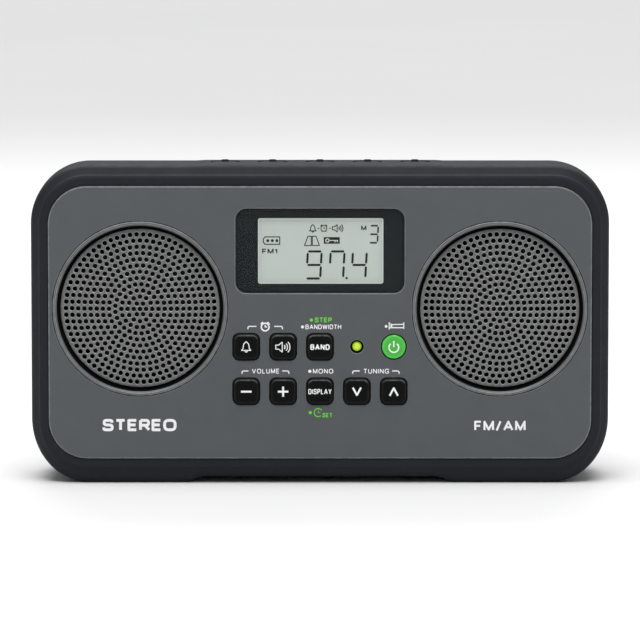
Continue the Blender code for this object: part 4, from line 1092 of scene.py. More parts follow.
def make_grille(side):
    node = f"speaker_grille_{side}"
    place = middle(node)
    shape = Shape()

    def lifted(points, depth):
        made = []
        for x, z in points:
            y = dome_y(min(math.hypot(x, z), GRILLE_RADIUS), depth, node)
            made.append((place.x + x, y, place.z + z))
        return made

    # The grille's rim as radius, depth and share of painted highlight.
    edge = (
        (GRILLE_RIM, 0.0, 0.0), (35.5, 0.02, 0.3), (35.85, 0.12, 0.9), (36.05, 0.35, 0.5),
        (GRILLE_RADIUS, 0.6, 0.0),
    )
    rim = [shape.ring(lifted(circle(radius), depth), wear_and_highlight) for radius, depth, wear_and_highlight in edge]
    rim.append(shape.ring(lifted(circle(GRILLE_RADIUS), GRILLE_THICK)))
    rim.append(shape.ring(lifted(circle(GRILLE_RIM), GRILLE_THICK)))
    shape.skin(rim)
    front, back = [rim[0]], [rim[-1]]
    # Each hole's lip as growth, depth and share of painted highlight.
    hole_wall = ((0.25, 0.0, 0.0), (0.13, 0.06, 1.0), (0.0, 0.25, 0.8), (0.0, GRILLE_THICK, 0.0))
    for centre in grille_holes():
        rings = []
        for grow, depth, wear_and_highlight in hole_wall:
            rings.append(shape.ring(lifted(circle(HOLE_RADIUS + grow, centre, HOLE_SIDES), depth), wear_and_highlight))
        shape.skin(rings)
        front.append(rings[0])
        back.append(rings[-1])
    shape.fill(front)
    shape.fill(back)
    piece(f"{node}_mesh", shape, "cabinet", [node], "grille_grey", "grille", angle=50.0)


def make_bezel(side):
    node = f"speaker_bezel_{side}"
    low, high = span(node)
    place = middle(node)
    grille = f"speaker_grille_{side}"
    front = low.y
    rim_y = dome_y(GRILLE_RADIUS, 0.0, grille)
    profile = [
        (38.5, front, 0.2), (BEZEL_RADIUS, front, 0.9), (BEZEL_RADIUS, high.y, 0.2), (34.8, high.y, 0.2),
        (34.8, dome_y(34.8, GRILLE_THICK + GAP, grille), 0.05),
        (GRILLE_RADIUS + 0.35, dome_y(GRILLE_RADIUS, GRILLE_THICK + GAP, grille), 0.1),
        (37.25, rim_y + 1.0, 0.1), (37.6, front + 0.85, 0.15),
    ]
    steps = 5
    soft = soften(profile, 0.3, steps, closed=True)
    # From the outer wall round to the inner chamfer the ring is painted shade black; its front face and the
    # chamfer at its front stay grey.
    painted_shade_from = 2 * (steps + 1) - 1
    slots = [1 if index >= painted_shade_from else 0 for index in range(len(soft))]
    slots[-1] = 0
    shape = Shape().lathe(soft, (place.x, 0.0, place.z), steps=ROUND_STEPS, closed=True, slots=slots)
    piece(f"{node}_ring", shape, "cabinet", [node], "panel_grey", "bezel", "painted_shade")


# ---- Display ----

DIGIT_SEGMENTS = {"9": "abcdfg", "7": "abcf", "4": "bcfg", "3": "abcdg"}


def digit(shape_of, left, top, width, height, thick, slant):
    """A seven-segment figure. Its segments end in points and stand a hair apart."""
    lean = math.tan(math.radians(slant))
    half = height / 2
    tip = thick / 2

    def slanted(x, z):
        return (left + x + (z + height) * lean, top + z)

    def level(z):
        end = width - tip
        lower = [(tip + tip, z - tip), (end - tip, z - tip), (end, z)]
        return [*lower, (end - tip, z + tip), (tip + tip, z + tip), (tip, z)]

    def upright(x, low, high):
        foot, head = low + tip, high - tip
        lower = [(x - tip, foot + tip), (x, foot), (x + tip, foot + tip)]
        return [*lower, (x + tip, head - tip), (x, head), (x - tip, head - tip)]

    segments = {
        "a": level(-tip), "g": level(-half), "d": level(-height + tip),
        "f": upright(tip, -half, -tip), "b": upright(width - tip, -half, -tip),
        "c": upright(width - tip, -height + tip, -half),
    }
    return [cover([[slanted(x, z) for x, z in segments[name]]]) for name in DIGIT_SEGMENTS[shape_of]]


def lcd_marks():
    """What the display shows, about the middle of its view."""
    marks = []
    for figure, left in (("9", -7.0), ("7", 3.35), ("4", 13.4)):
        marks += digit(figure, left, 0.2, 7.25, 13.3, 1.0, 3.2)
    marks.append(dot(11.75, -12.4, 0.55))
    marks += digit("3", 21.7, 11.75, 4.3, 8.5, 0.75, 3.0)
    marks.append(lettering("M", (18.3, 9.2, 20.7, 11.5), 0.48))
    marks.append(lettering("FM1", (-26.5, -1.4, -19.6, 1.0), 0.52, 0.45))
    case = [(-25.2, 6.3), (-18.5, 6.3), (-18.5, 2.95), (-25.2, 2.95), (-25.9, 3.9), (-25.9, 5.35)]
    marks.append(cover(stroke(case, 0.46, closed=True)))
    marks += [dot(-23.9 + 2.05 * number, 4.62, 0.68) for number in range(3)]
    marks.append(shifted(bell(0.72), -3.55, 10.1))
    marks.append(cover([bar((-1.35, 10.2), (-0.55, 10.2), 0.4)]))
    marks += [shifted(region, 1.46, 10.2) for region in clock_face(1.35, 0.4, ears=True, feet=True)]
    marks.append(cover([bar((3.75, 10.2), (4.6, 10.2), 0.4)]))
    marks.append(shifted(loudspeaker(0.72), 7.75, 10.2))
    left_half = [(-7.3, 2.4), (-5.75, 6.6), (-4.25, 6.6), (-4.25, 2.4)]
    right_half = [(-3.75, 2.4), (-3.75, 6.6), (-2.1, 6.6), (-0.6, 2.4)]
    marks += [cover(stroke(half, 0.42, closed=True)) for half in (left_half, right_half)]
    marks.append(cover([[(1.4, 3.2), (8.65, 3.2), (8.65, 6.2), (1.4, 6.2)]]))
    return marks


def window_outline(inset):
    low, high = span("display_window")
    centre = (middle("display_window").x, middle("display_window").z)
    width, height = high.x - low.x - 2 * inset, high.z - low.z - 2 * inset
    return rounded_rect(width, height, WINDOW_RADIUS - inset, centre, 12)


def view_outline(inset):
    """The opening in the mask, through which the panel shows."""
    width, height = VIEW_SIZE[0] - 2 * inset, VIEW_SIZE[1] - 2 * inset
    return rounded_rect(width, height, VIEW_RADIUS - inset, VIEW_CENTRE, 6)


def make_window():
    low, high = span("display_window")
    shape = Shape().slab(window_outline, low.y, high.y, 0.35, 0.1)
    piece("display_window_pane", shape, "cabinet", ["display_window"], "window_clear", "window")


def make_mask():
    shape = Shape()
    depths = [corner.y for corner in span("display_mask")]
    outer = [shape.flat(window_outline(0.0), y) for y in depths]
    inner = [shape.flat(view_outline(0.0), y) for y in depths]
    shape.skin(outer)
    shape.skin(inner)
    shape.fill([outer[0], inner[0]])
    shape.fill([outer[1], inner[1]])
    piece("display_mask_frame", shape, "cabinet", ["display_mask"], "mask_black", "mask", weighted=False)


def make_lcd():
    """The liquid-crystal panel, its figures, a small key on a dark field, and a painted highlight along the
    edge of the view.
    """
    low, high = span("lcd_panel")
    piece("lcd_glass", block(low, high, 0.2, 0.6), "cabinet", ["lcd_panel"], "lcd_grey", "lcd")
    marks = print_marks(Shape(), lcd_marks(), low.y, centre=VIEW_CENTRE)
    key = stroke([(3.75, 4.7), (7.9, 4.7)], 0.42)
    key += [bar((6.5, 4.7), (6.5, 3.85), 0.45), bar((7.55, 4.7), (7.55, 3.85), 0.45)]
    handle = cover([circle(1.0, (3.05, 4.7), 24)], [circle(0.5, (3.05, 4.7), 16)])
    print_marks(marks, [cover(key), handle], low.y, proud=0.09, centre=VIEW_CENTRE, slot=1)
    piece("lcd_figures", marks, "cabinet", [], "lcd_grey", "mark", "lcd", weighted=False)
    # A glowing strip round the view: a painted highlight.
    border = cover([view_outline(0.0)], [view_outline(0.45)])
    edge = print_marks(Shape(), [border], low.y, proud=0.08)
    piece("lcd_painted_highlight_edge", edge, "cabinet", [], "lcd_grey", "lcd_painted_edge", weighted=False)


# ---- Bumper ----

# The band's outer section as (y, thickness where it is crowned, along the flat underside, at a foot).
BAND_SECTION = (
    (-31.1, 3.4, 3.6, 3.6),
    (-30.4, 4.5, 4.8, 5.0),
    (-29.0, 5.1, 6.3, 7.6),
    (-26.8, 6.7, 8.6, 10.9),
    (-24.2, 8.3, 8.9, 11.5),
    (-20.0, 8.9, 9.0, 11.5),
    (-10.0, 9.0, 9.0, 11.5),
    (-1.0, 9.0, 9.0, 11.5),
    (10.0, 8.5, 9.0, 11.5),
    (20.0, 7.6, 9.0, 11.5),
    (27.0, 6.3, 8.1, 10.2),
    (31.0, 4.6, 5.8, 7.0),
    (32.6, 3.3, 4.0, 4.6),
    (33.0, 2.4, 2.6, 2.8),
)
RIDGE_POINT = 2
STRIP_X = 52.0
STRIP_RAMP = 4.0
STRIP_RISE = 0.25
SIDE_SLIM = 0.7
FOOT_INNER_X = 60.6
NOTCH_X = 52.7
SECTION_STEPS = 4
TOP_STEPS = 56
SIDE_STEPS = 18
BASE_STEPS = 64
CHANNEL_REACH = 160.0


def smooth_path(rows, steps):
    """A curve through rows of numbers, with steps - 1 points between each pair."""
    made = []
    for index in range(len(rows) - 1):
        before, start = rows[max(index - 1, 0)], rows[index]
        end, after = rows[index + 1], rows[min(index + 2, len(rows) - 1)]
        for step in range(steps):
            t = step / steps
            row = []
            for a, b, c, d in zip(before, start, end, after):
                limit = abs(c - b) * 1.5
                slope_in = max(-limit, min(limit, (c - a) / 2))
                slope_out = max(-limit, min(limit, (d - b) / 2))
                value = (2 * t**3 - 3 * t**2 + 1) * b + (t**3 - 2 * t**2 + t) * slope_in
                value += (3 * t**2 - 2 * t**3) * c + (t**3 - t**2) * slope_out
                row.append(value)
            made.append(tuple(row))
    made.append(tuple(rows[-1]))
    return made


def band_stations():
    """Places round the outline: (x, z, outward x, outward z, share of underside, of foot, of key strip)."""
    stations = []
    straight = PANEL_WIDTH / 2 - PANEL_RADIUS
    for side_x, side_z, start in ((1, 1, 0), (-1, 1, 90), (-1, -1, 180), (1, -1, 270)):
        middle_x, middle_z = side_x * straight, PANEL_Z + side_z * (PANEL_HEIGHT / 2 - PANEL_RADIUS)
        for step in range(CORNER_STEPS + 1):
            share = step / CORNER_STEPS
            angle = math.radians(start + 90 * share)
            out_x, out_z = math.cos(angle), math.sin(angle)
            low = ease({180: share, 270: 1 - share}.get(start, 0.0))
            x, z = middle_x + PANEL_RADIUS * out_x, middle_z + PANEL_RADIUS * out_z
            stations.append((x, z, out_x, out_z, low, low, 0.0))
        if start == 0:
            for step in range(1, TOP_STEPS):
                x = straight - 2 * straight * step / TOP_STEPS
                strip = ease((STRIP_X + STRIP_RAMP - abs(x)) / STRIP_RAMP)
                stations.append((x, PANEL_TOP, 0.0, 1.0, 0.0, 0.0, strip))
        if start in (90, 270):
            for step in range(1, SIDE_STEPS):
                z = middle_z + (PANEL_Z - middle_z) * 2 * step / SIDE_STEPS
                stations.append((side_x * PANEL_WIDTH / 2, z, float(side_x), 0.0, 0.0, 0.0, 0.0))
        if start == 180:
            for step in range(1, BASE_STEPS):
                x = -straight + 2 * straight * step / BASE_STEPS
                foot = ease((abs(x) - NOTCH_X) / (FOOT_INNER_X - NOTCH_X))
                stations.append((x, PANEL_BASE, 0.0, -1.0, 1.0, foot, 0.0))
    return stations


def make_bumper():
    """The rubber band: a soft section drawn round the cabinet, with holes for preset keys and sockets."""
    outer = smooth_path(BAND_SECTION, SECTION_STEPS)
    inner = [(BAND_HIGH.y, 0.3), (REAR_SHOULDER_Y + GAP, 0.3), (REAR_SHOULDER_Y + GAP, PANEL_TUCK + GAP)]
    inner += [(FRONT_SHOULDER_Y - GAP, PANEL_TUCK + GAP), (FRONT_SHOULDER_Y - GAP, 0.3), (BAND_LOW.y, 0.3)]
    shape = Shape()
    loops = []
    for x, z, out_x, out_z, low, foot, strip in band_stations():
        loop = []
        for index, (y, crowned, flat, footed) in enumerate(outer):
            depth = index / SECTION_STEPS
            thick = crowned + (flat - crowned) * low + (footed - flat) * foot
            thick -= SIDE_SLIM * out_x**2
            thick += STRIP_RISE * strip * ease((y + 26.0) / 5.0) * ease((27.0 - y) / 6.0)
            # A painted highlight along the ridge, a lighter front lip, and wear on the feet.
            ridge_highlight = max(0.0, 1 - abs(depth - RIDGE_POINT) / 1.2)
            lip = max(0.0, 1 - depth / 1.2)
            wear_and_highlight = 0.8 * ridge_highlight + 0.5 * lip
            if -24.0 < y < 26.0:
                wear_and_highlight += 0.3 * foot
            loop += shape.ring([(x + out_x * thick, y, z + out_z * thick)], min(1.0, wear_and_highlight))
        for y, thick in inner:
            loop += shape.ring([(x + out_x * thick, y, z + out_z * thick)])
        loops.append(loop)
    shape.skin([*loops, loops[0]])
    band = new_object("protective_bumper_band", shape.mesh("protective_bumper_band"))
    crown = BAND_HIGH.z
    for name in PRESETS:
        place = middle(name)
        low, high = span(name)
        radius = (high.x - low.x) / 2 + GAP
        base = FRONT_HIGH.z - 1.0
        profile = [
            (0.0, base), (radius, base), (radius, crown - 0.55), (radius + 0.12, crown - 0.3),
            (radius + 0.45, crown + 0.05), (radius + 2.0, crown + 1.0), (radius + 2.0, crown + 5.0),
            (0.0, crown + 5.0),
        ]
        carve(band, Shape().lathe(profile, (place.x, place.y, 0.0), "Z", 64))
    carve(band, channel_tool())
    for name, half_y, height, side in (("audio", 6.5, 27.0, 1), ("dc_jack", 7.0, 14.0, -1)):
        carve(band, side_slot(name, half_y, height, side))
    finish(band, "cabinet", ["protective_bumper"], "rubber", "rubber", angle=45.0)


def channel_tool():
    """The antenna's channel, with a flared lip at its front top edge."""
    front, top, flare = CHANNEL_Y - GAP, BAND_HIGH.z, 0.6
    outline = [
        (front, CHANNEL_FLOOR), (REAR_Y + 30.0, CHANNEL_FLOOR), (REAR_Y + 30.0, top + 20.0),
        (front - flare * 4, top + 20.0), (front - flare * 4, top + 2.0), (front - flare, top - 1.3),
        (front - flare * 0.3, top - 1.9), (front, top - 2.6),
    ]
    return prism(outline, -CHANNEL_REACH, CHANNEL_REACH, "X")


def side_slot(name, half_y, height, side):
    """A cut through the band at the sockets, wider towards the outside."""
    if name == "audio":
        centres = [middle("headphone_jack"), middle("aux_jack")]
        place = (centres[0] + centres[1]) / 2
    else:
        place = middle(name)
    shape = Shape()
    rings = []
    outside = BAND_HIGH.x
    steps = (
        (CABINET_SIDE - 1.0, 0.0), (outside - 0.75, 0.0), (outside - 0.4, 0.15), (outside, 0.6),
        (outside + 4.0, 3.0),
    )
    for x, grow in steps:
        outline = rounded_rect(2 * (half_y + grow), height + 2 * grow, 5.0 + grow, (place.y, place.z), 8)
        rings.append(shape.ring([(side * x, y, z) for y, z in outline]))
    return shape.close(rings)


# ---- Rear cabinet, battery door and screws ----

REAR_EDGE = 0.7
DOOR_THICK = 2.2
DOOR_HALF = 57.5
POST_RADIUS = 4.5
SCREW_BORE = 1.85
SCREW_SINK = 3.6
BAY_LOW = (-54.5, 2.8, 17.6)
BAY_HIGH = (54.5, REAR_Y + 1.0, 71.2)
BAY_WALL = 2.0
SOCKET_Y = 12.0
# Each socket with the radius of its collar and of its hole, and the side that it is on.
SOCKETS = (("headphone_jack", 3.6, 1.85, 1), ("aux_jack", 3.6, 1.85, 1), ("dc_jack", 4.6, 3.1, -1))


def loft(rings):
    """A closed solid through outlines at depths along Y."""
    shape = Shape()
    made = [shape.flat(outline, y) for outline, y in rings]
    return shape.close(made)


def rod(radius, low, high, centre, axis="Y", steps=40):
    return Shape().lathe([(0.0, low), (radius, low), (radius, high), (0.0, high)], centre, axis, steps)


def box(low, high, corner=0.02):
    """A box whose corners are rounded as seen from the front."""
    centre = ((low[0] + high[0]) / 2, (low[2] + high[2]) / 2)
    return prism(rounded_rect(high[0] - low[0], high[2] - low[2], corner, centre, 6), low[1], high[1])


def carve_slots(item, rows, first_z, pitch, half, height, depth, corner):
    """Cuts a stack of level slots into the back."""
    for row in range(rows):
        z = first_z + pitch * row
        carve(item, box((-half, REAR_Y - depth, z), (half, REAR_Y + 1.0, z + height), corner))


def make_rear_cabinet():
    edge = [(panel_outline(-inset), REAR_Y - drop) for inset, drop, _ in reversed(round_edge(REAR_EDGE, 4))]
    rings = [(panel_outline(PANEL_TUCK), REAR_START_Y), (panel_outline(PANEL_TUCK), REAR_SHOULDER_Y)]
    rings += [(panel_outline(0.0), REAR_SHOULDER_Y), *edge]
    shell = new_object("rear_shell", loft(rings).mesh("rear_shell"))
    cavity = new_object("cavity", loft([
        (panel_outline(PANEL_TUCK - WALL), REAR_START_Y - 2.0),
        (panel_outline(PANEL_TUCK - WALL), REAR_SHOULDER_Y - WALL),
        (panel_outline(-WALL), REAR_SHOULDER_Y - WALL),
        (panel_outline(-WALL), REAR_Y - WALL),
    ]).mesh("cavity"))
    channel_end = (CHANNEL_REACH, 60.0, 170.0)
    carve(cavity, box((-CHANNEL_REACH, CHANNEL_Y - WALL, CHANNEL_FLOOR - WALL), channel_end))
    carve(shell, cavity)
    for name in SCREWS:
        place = middle(name)
        line = (place.x, 0.0, place.z)
        fuse(shell, rod(POST_RADIUS, REAR_START_Y, REAR_Y - 1.0, line))
        carve(shell, rod(SCREW_BORE, REAR_START_Y - 1.0, REAR_Y + 1.0, line))
        carve(shell, rod(SCREW_SINK, REAR_Y - 2.2, REAR_Y + 1.0, line))
    low = tuple(value - BAY_WALL for value in BAY_LOW)
    fuse(shell, box(low, (BAY_HIGH[0] + BAY_WALL, REAR_Y - 1.0, BAY_HIGH[2] + BAY_WALL)))
    carve(shell, box(BAY_LOW, BAY_HIGH))
    door_low, door_high = span("battery_door")
    opening_low = (-DOOR_HALF - GAP, REAR_Y - DOOR_THICK - GAP, door_low.z - GAP)
    carve(shell, box(opening_low, (DOOR_HALF + GAP, REAR_Y + 1.0, door_high.z + GAP)))
    hinge = (0.0, REAR_Y - DOOR_THICK / 2, door_low.z + DOOR_THICK / 2)
    carve(shell, rod(0.9, -DOOR_HALF - 2.2, DOOR_HALF + 2.2, hinge, "X", 16))
    carve(shell, box((-CHANNEL_REACH, CHANNEL_Y, CHANNEL_FLOOR), channel_end))
    foot = middle("antenna_bushing")
    carve(shell, rod(4.5, 125.0, 136.0, (foot.x, foot.y, 0.0), "Z"))
    for name, collar, _, side in SOCKETS:
        place = middle(name)
        inside, outside = sorted((side * (CABINET_SIDE - WALL - 1.0), side * (CABINET_SIDE + 1.0)))
        carve(shell, rod(collar + 0.4, inside, outside, (0.0, SOCKET_Y, place.z), "X", 32))
    carve_slots(shell, 7, 84.0, 4.2, 38.0, 1.6, 0.55, 0.8)
    bevel_edges(shell, 0.25)
    finish(shell, "cabinet", ["rear_cabinet"], "case_black", "case", angle=35.0)


def make_screws():
    """Pan-head screws with a cross recess."""
    for name in SCREWS:
        low, high = span(name)
        place = ((low.x + high.x) / 2, 0.0, (low.z + high.z) / 2)
        profile = [
            (0.0, REAR_Y - 0.4), (1.2, REAR_Y - 0.42), (2.2, REAR_Y - 0.55), (2.8, REAR_Y - 0.85, 0.4),
            (3.1, REAR_Y - 1.3, 0.1), (3.1, REAR_Y - 1.9, 0.1), (1.5, REAR_Y - 1.9, 0.1), (1.5, -8.0, 0.1),
            (0.0, low.y),
        ]
        shape = Shape().lathe(soften(profile, 0.1), place, steps=40)
        item = new_object(f"{name}_head", shape.mesh(name))
        for wide, tall in ((3.2, 0.8), (0.8, 3.2)):
            outline = rounded_rect(wide, tall, 0.12, (place[0], place[2]), 3)
            taper = rounded_rect(wide * 0.6, tall * 0.6, 0.08, (place[0], place[2]), 3)
            carve(item, loft([(taper, REAR_Y - 1.6), (outline, REAR_Y - 0.55), (outline, REAR_Y)]))
        bevel_edges(item, 0.06, segments=1)
        finish(item, "cabinet", [name], "steel", "steel")


def make_door():
    low, high = span("battery_door")
    radius = DOOR_THICK / 2
    hinge_y, hinge_z = REAR_Y - radius, low.z + radius
    inner_y = REAR_Y - DOOR_THICK
    section = [(REAR_Y, high.z), (inner_y, high.z)]
    for step in range(13):
        angle = math.pi + math.pi * step / 12
        section.append((hinge_y + radius * math.cos(angle), hinge_z + radius * math.sin(angle)))
    door = new_object("door", prism(section, -DOOR_HALF, DOOR_HALF, "X").mesh("door"))
    fuse(door, rod(0.6, -DOOR_HALF - 1.6, DOOR_HALF + 1.6, (0.0, hinge_y, hinge_z), "X", 16))
    latch_low, latch_high = span("battery_latch")
    reach = (latch_high.x - latch_low.x) / 2 + GAP
    slot_low = (-reach, REAR_Y - 1.5, latch_low.z - 3.0 - GAP)
    carve(door, box(slot_low, (reach, REAR_Y + 1.0, latch_high.z + GAP)))
    carve_slots(door, 9, 26.0, 3.4, 44.0, 1.5, 0.45, 0.7)
    bevel_edges(door, 0.2)
    arrow = cover([[(-1.4, 0.9), (0.0, -1.4), (1.4, 0.9)]])
    for side, x in (("left", -34.0), ("right", 34.0)):
        turn = Matrix.Translation(Vector((x, 0.0, 64.0))) @ Matrix.Rotation(math.pi, 4, "Z")
        sign = print_marks(Shape(), [arrow], -REAR_Y).moved(turn)
        name = f"battery_door_arrow_{side}"
        piece(name, sign, "battery_door", [], "case_black", "case_light", weighted=False)
    finish(door, "battery_door", ["battery_door"], "case_black", "case", angle=35.0)


def make_latch():
    """The latch's plate, with three ridges for the thumb."""
    low, high = span("battery_latch")
    latch = new_object("latch", block(low, (high.x, REAR_Y, high.z), 0.3, 0.8).mesh("latch"))
    for ridge in range(3):
        z = high.z - 2.2 - 1.8 * ridge
        section = [
            (REAR_Y - 0.5, z - 0.6), (REAR_Y + 0.35, z - 0.35), (REAR_Y + 0.58, z),
            (REAR_Y + 0.35, z + 0.35), (REAR_Y - 0.5, z + 0.6),
        ]
        fuse(latch, prism(section, low.x + 2.0, high.x - 2.0, "X"))
    bevel_edges(latch, 0.1)
    finish(latch, "battery_latch", ["battery_latch"], "case_black", "case", angle=35.0)


def make_sockets():
    """Each socket with a metal bush in its hole, made for the right side and mirrored for the left."""
    for name, radius, hole, side in SOCKETS:
        low, high = span(name)
        place = (0.0, SOCKET_Y, (low.z + high.z) / 2)
        back, face = CABINET_SIDE - WALL - GAP, CABINET_SIDE + 0.2
        deep = high.x - low.x - (face - back)
        inside = back - deep * 0.7
        body = block((back - deep, low.y, low.z), (back, high.y, high.z), 0.3, 0.4)
        item = new_object(name, body.mesh(name))
        collar = Shape()
        profile = [(0.0, back - 1.0), (radius, back - 1.0), (radius, face), (0.0, face)]
        collar.lathe(soften(profile, 0.25), place, "X", 40)
        fuse(item, collar)
        carve(item, rod(hole, inside, face + 2.0, place, "X", 40))
        bevel_edges(item, 0.12)
        bush = Shape()
        bore = hole - 0.1
        ring = [
            (bore, face - 2.6), (bore, face), (bore + 0.55, face), (bore + 0.55, face - 0.4),
            (bore + 0.12, face - 0.5), (bore + 0.12, face - 2.6),
        ]
        bush.lathe(soften(ring, 0.08, closed=True), place, "X", 40, closed=True)
        if name == "dc_jack":
            tip = CABINET_SIDE - 1.0
            pin = [(0.0, inside), (1.0, inside), (1.0, tip, 0.4), (0.0, tip)]
            bush.lathe(soften(pin, 0.2), place, "X", 24)
        else:
            for number in range(3):
                spring = block((face - 3.6, -0.35, hole - 0.5), (face - 2.2, 0.35, hole - 0.1), 0.1, 0.1)
                turn = Matrix.Rotation(math.tau * number / 3, 4, "X")
                bush.add(spring.moved(Matrix.Translation(Vector(place)) @ turn))
        mirror = Matrix.Scale(side, 4, Vector((1.0, 0.0, 0.0)))
        item.data.transform(mirror)
        if side < 0:
            item.data.flip_normals()
        finish(item, "cabinet", [name], "case_black", "case")
        piece(f"{name}_bush", bush.moved(mirror), "cabinet", [], "steel", "steel")


# ---- Batteries ----


def make_cells():
    for number in range(1, 5):
        name = f"battery_cell_{number}"
        low, high = span(name)
        radius = (high.z - low.z) / 2
        place = (0.0, (low.y + high.y) / 2, (low.z + high.z) / 2)
        length = high.x - low.x
        # Radius, distance from the flat end, and slot: 0 the wrap, 1 its upper band, 2 bare metal.
        marks = [
            (0.0, 0.15, 2), (radius - 2.4, 0.15, 2), (radius - 1.9, 0.5, 2), (radius - 1.4, 0.1, 0),
            (radius - 0.5, 0.0, 0), (radius - 0.12, 0.15, 0), (radius, 0.6, 0), (radius, length * 0.66, 0),
            (radius, length * 0.662, 1), (radius, length - 2.1, 1), (radius - 0.12, length - 1.65, 1),
            (radius - 0.5, length - 1.45, 1), (radius - 1.8, length - 1.4, 1),
            (radius - 2.1, length - 1.9, 2), (3.8, length - 1.9, 2), (3.3, length - 1.5, 2),
            (3.3, length - 0.35, 2), (3.0, length - 0.05, 2), (0.0, length, 2),
        ]
        shape = Shape()
        profile = [(r, low.x + x) for r, x, _ in marks]
        shape.lathe(profile, place, "X", 56, slots=[slot for _, _, slot in marks[1:]])
        piece(f"{name}_can", shape, "cabinet", [name], "cell_wrap", "wrap", "band", "steel")


def make_springs():
    for name in ("battery_spring_lower", "battery_spring_upper"):
        low, high = span(name)
        place = middle(name)
        wire, turns, per_turn, sides = 0.45, 3.25, 28, 10
        wide, narrow = (high.z - low.z) / 2 - wire, 3.0
        length = high.x - low.x - 2 * wire
        along = Vector((1.0, 0.0, 0.0))
        shape = Shape()
        rings = []
        count = int(turns * per_turn)
        for index in range(count + 1):
            share = index / count
            angle = math.tau * turns * share
            radius = wide + (narrow - wide) * share
            across, up = math.cos(angle), math.sin(angle)
            centre = Vector((low.x + wire + length * share, place.y + radius * across, place.z + radius * up))
            out = Vector((0.0, across, up))
            section = [math.tau * side / sides for side in range(sides)]
            ring = [centre + wire * (out * math.cos(turn) + along * math.sin(turn)) for turn in section]
            rings.append(shape.ring(ring))
        shape.close(rings)
        piece(f"{name}_coil", shape, "cabinet", [name], "steel", "steel")


# ---- Antenna ----

HINGE = middle("antenna_hinge_pin")
FOOT = (HINGE.x, HINGE.y, 0.0)
TUBE_LINE = (0.0, HINGE.y, HINGE.z)
TUBE_OUTER = (3.25, 2.5, 1.75, 1.0)
TUBE_INNER = (2.8, 2.05, 1.3)


def make_bushing():
    low, high = span("antenna_bushing")
    under = CHANNEL_FLOOR - WALL - GAP
    profile = [(2.8, high.z), (4.2, high.z, 0.12), (4.2, under), (5.1, under), (5.1, low.z), (2.8, low.z)]
    shape = Shape().lathe(soften(profile, 0.1, closed=True), FOOT, "Z", 48, closed=True)
    piece("antenna_bushing_ring", shape, "cabinet", ["antenna_bushing"], "steel", "steel")


def make_swivel():
    """A turntable on a stub, with two cheeks that hold the first tube."""
    base = span("antenna_swivel")[0].z
    floor = CHANNEL_FLOOR
    profile = [
        (0.0, base), (2.5, base), (2.5, floor + 0.5), (5.0, floor + 0.5, 0.2), (5.0, floor + 1.3, 0.3),
        (0.0, floor + 1.3),
    ]
    shape = Shape().lathe(soften(profile, 0.12), FOOT, "Z", 64)
    swivel = new_object("swivel", shape.mesh("swivel"))
    round_top = arc_points((HINGE.x, HINGE.z), 4.0, 0, 180, 32)
    cheek = [(HINGE.x + 4.0, floor + 0.9), *round_top, (HINGE.x - 4.0, floor + 0.9)]
    for start in (-3.5, 1.5):
        fuse(swivel, prism(cheek, HINGE.y + start, HINGE.y + start + 2.0))
    carve(swivel, rod(1.5, -5.0, 5.0, HINGE, steps=32))
    bevel_edges(swivel, 0.3, segments=3)
    finish(swivel, "antenna_swivel", ["antenna_swivel"], "chrome", "chrome")


def make_rivet():
    """The hinge pin, with a head at each end."""
    profile = [
        (0.0, -4.4), (2.0, -4.4, 0.3), (2.0, -3.8, 0.1), (1.2, -3.8), (1.2, 3.8), (2.0, 3.8, 0.1),
        (2.0, 4.4, 0.3), (0.0, 4.4),
    ]
    shape = Shape().lathe(soften(profile, 0.1), HINGE, "Y", 40)
    piece("antenna_hinge_rivet", shape, "antenna_swivel", ["antenna_hinge_pin"], "steel", "steel")


def make_tube(index):
    """One section of the antenna. The first has the hinge's eye, and the last is a plain rod."""
    name = f"antenna_tube_{index + 1}"
    low, high = span(name)
    outer = TUBE_OUTER[index]
    root = high.x if index else HINGE.x - 7.0
    if index < len(TUBE_INNER):
        inner = TUBE_INNER[index]
        lip = min(0.12, (outer - inner) / 3)
        profile = [
            (0.0, root), (outer - 0.4, root), (outer, root - 0.4), (outer, low.x + 1.6),
            (outer - lip, low.x + 1.3, 0.1), (outer - lip, low.x + 0.5, 0.1),
            (outer - 0.04, low.x + 0.05, 0.1), (inner, low.x, 0.08), (inner, root - 4.0), (0.0, root - 4.0),
        ]
    else:
        profile = [(0.0, root), (outer, root), (outer, low.x), (0.0, low.x)]
    shape = Shape().lathe(soften(profile, 0.06), TUBE_LINE, "X", 56)
    if index:
        piece(f"{name}_sleeve", shape, name, [name], "chrome", "chrome")
        return
    tube = new_object("root_tube", shape.mesh("root_tube"))
    half = 1.2
    tongue_low = (root - 1.0, HINGE.y - half, HINGE.z - 2.2)
    fuse(tube, box(tongue_low, (HINGE.x - 1.0, HINGE.y + half, HINGE.z + 2.2)))
    fuse(tube, rod(3.1, -half, half, HINGE))
    carve(tube, rod(1.5, -5.0, 5.0, HINGE, steps=32))
    finish(tube, name, [name], "chrome", "chrome", angle=32.0)


def make_tip():
    low, high = span("antenna_tip")
    end = high.x - 4.3
    profile = [
        (0.0, end - GAP), (1.3, end - GAP), (1.3, high.x, 0.1), (3.0, high.x, 0.3), (3.25, high.x - 1.0, 0.3),
        (3.25, end - 1.8, 0.8), (2.3, low.x + 0.3, 0.5), (0.0, low.x),
    ]
    shape = Shape().lathe(soften(profile, 0.1, 5), TUBE_LINE, "X", 56)
    piece("antenna_tip_knob", shape, "antenna_tube_4", ["antenna_tip"], "chrome", "chrome")


# ---- Surroundings ----

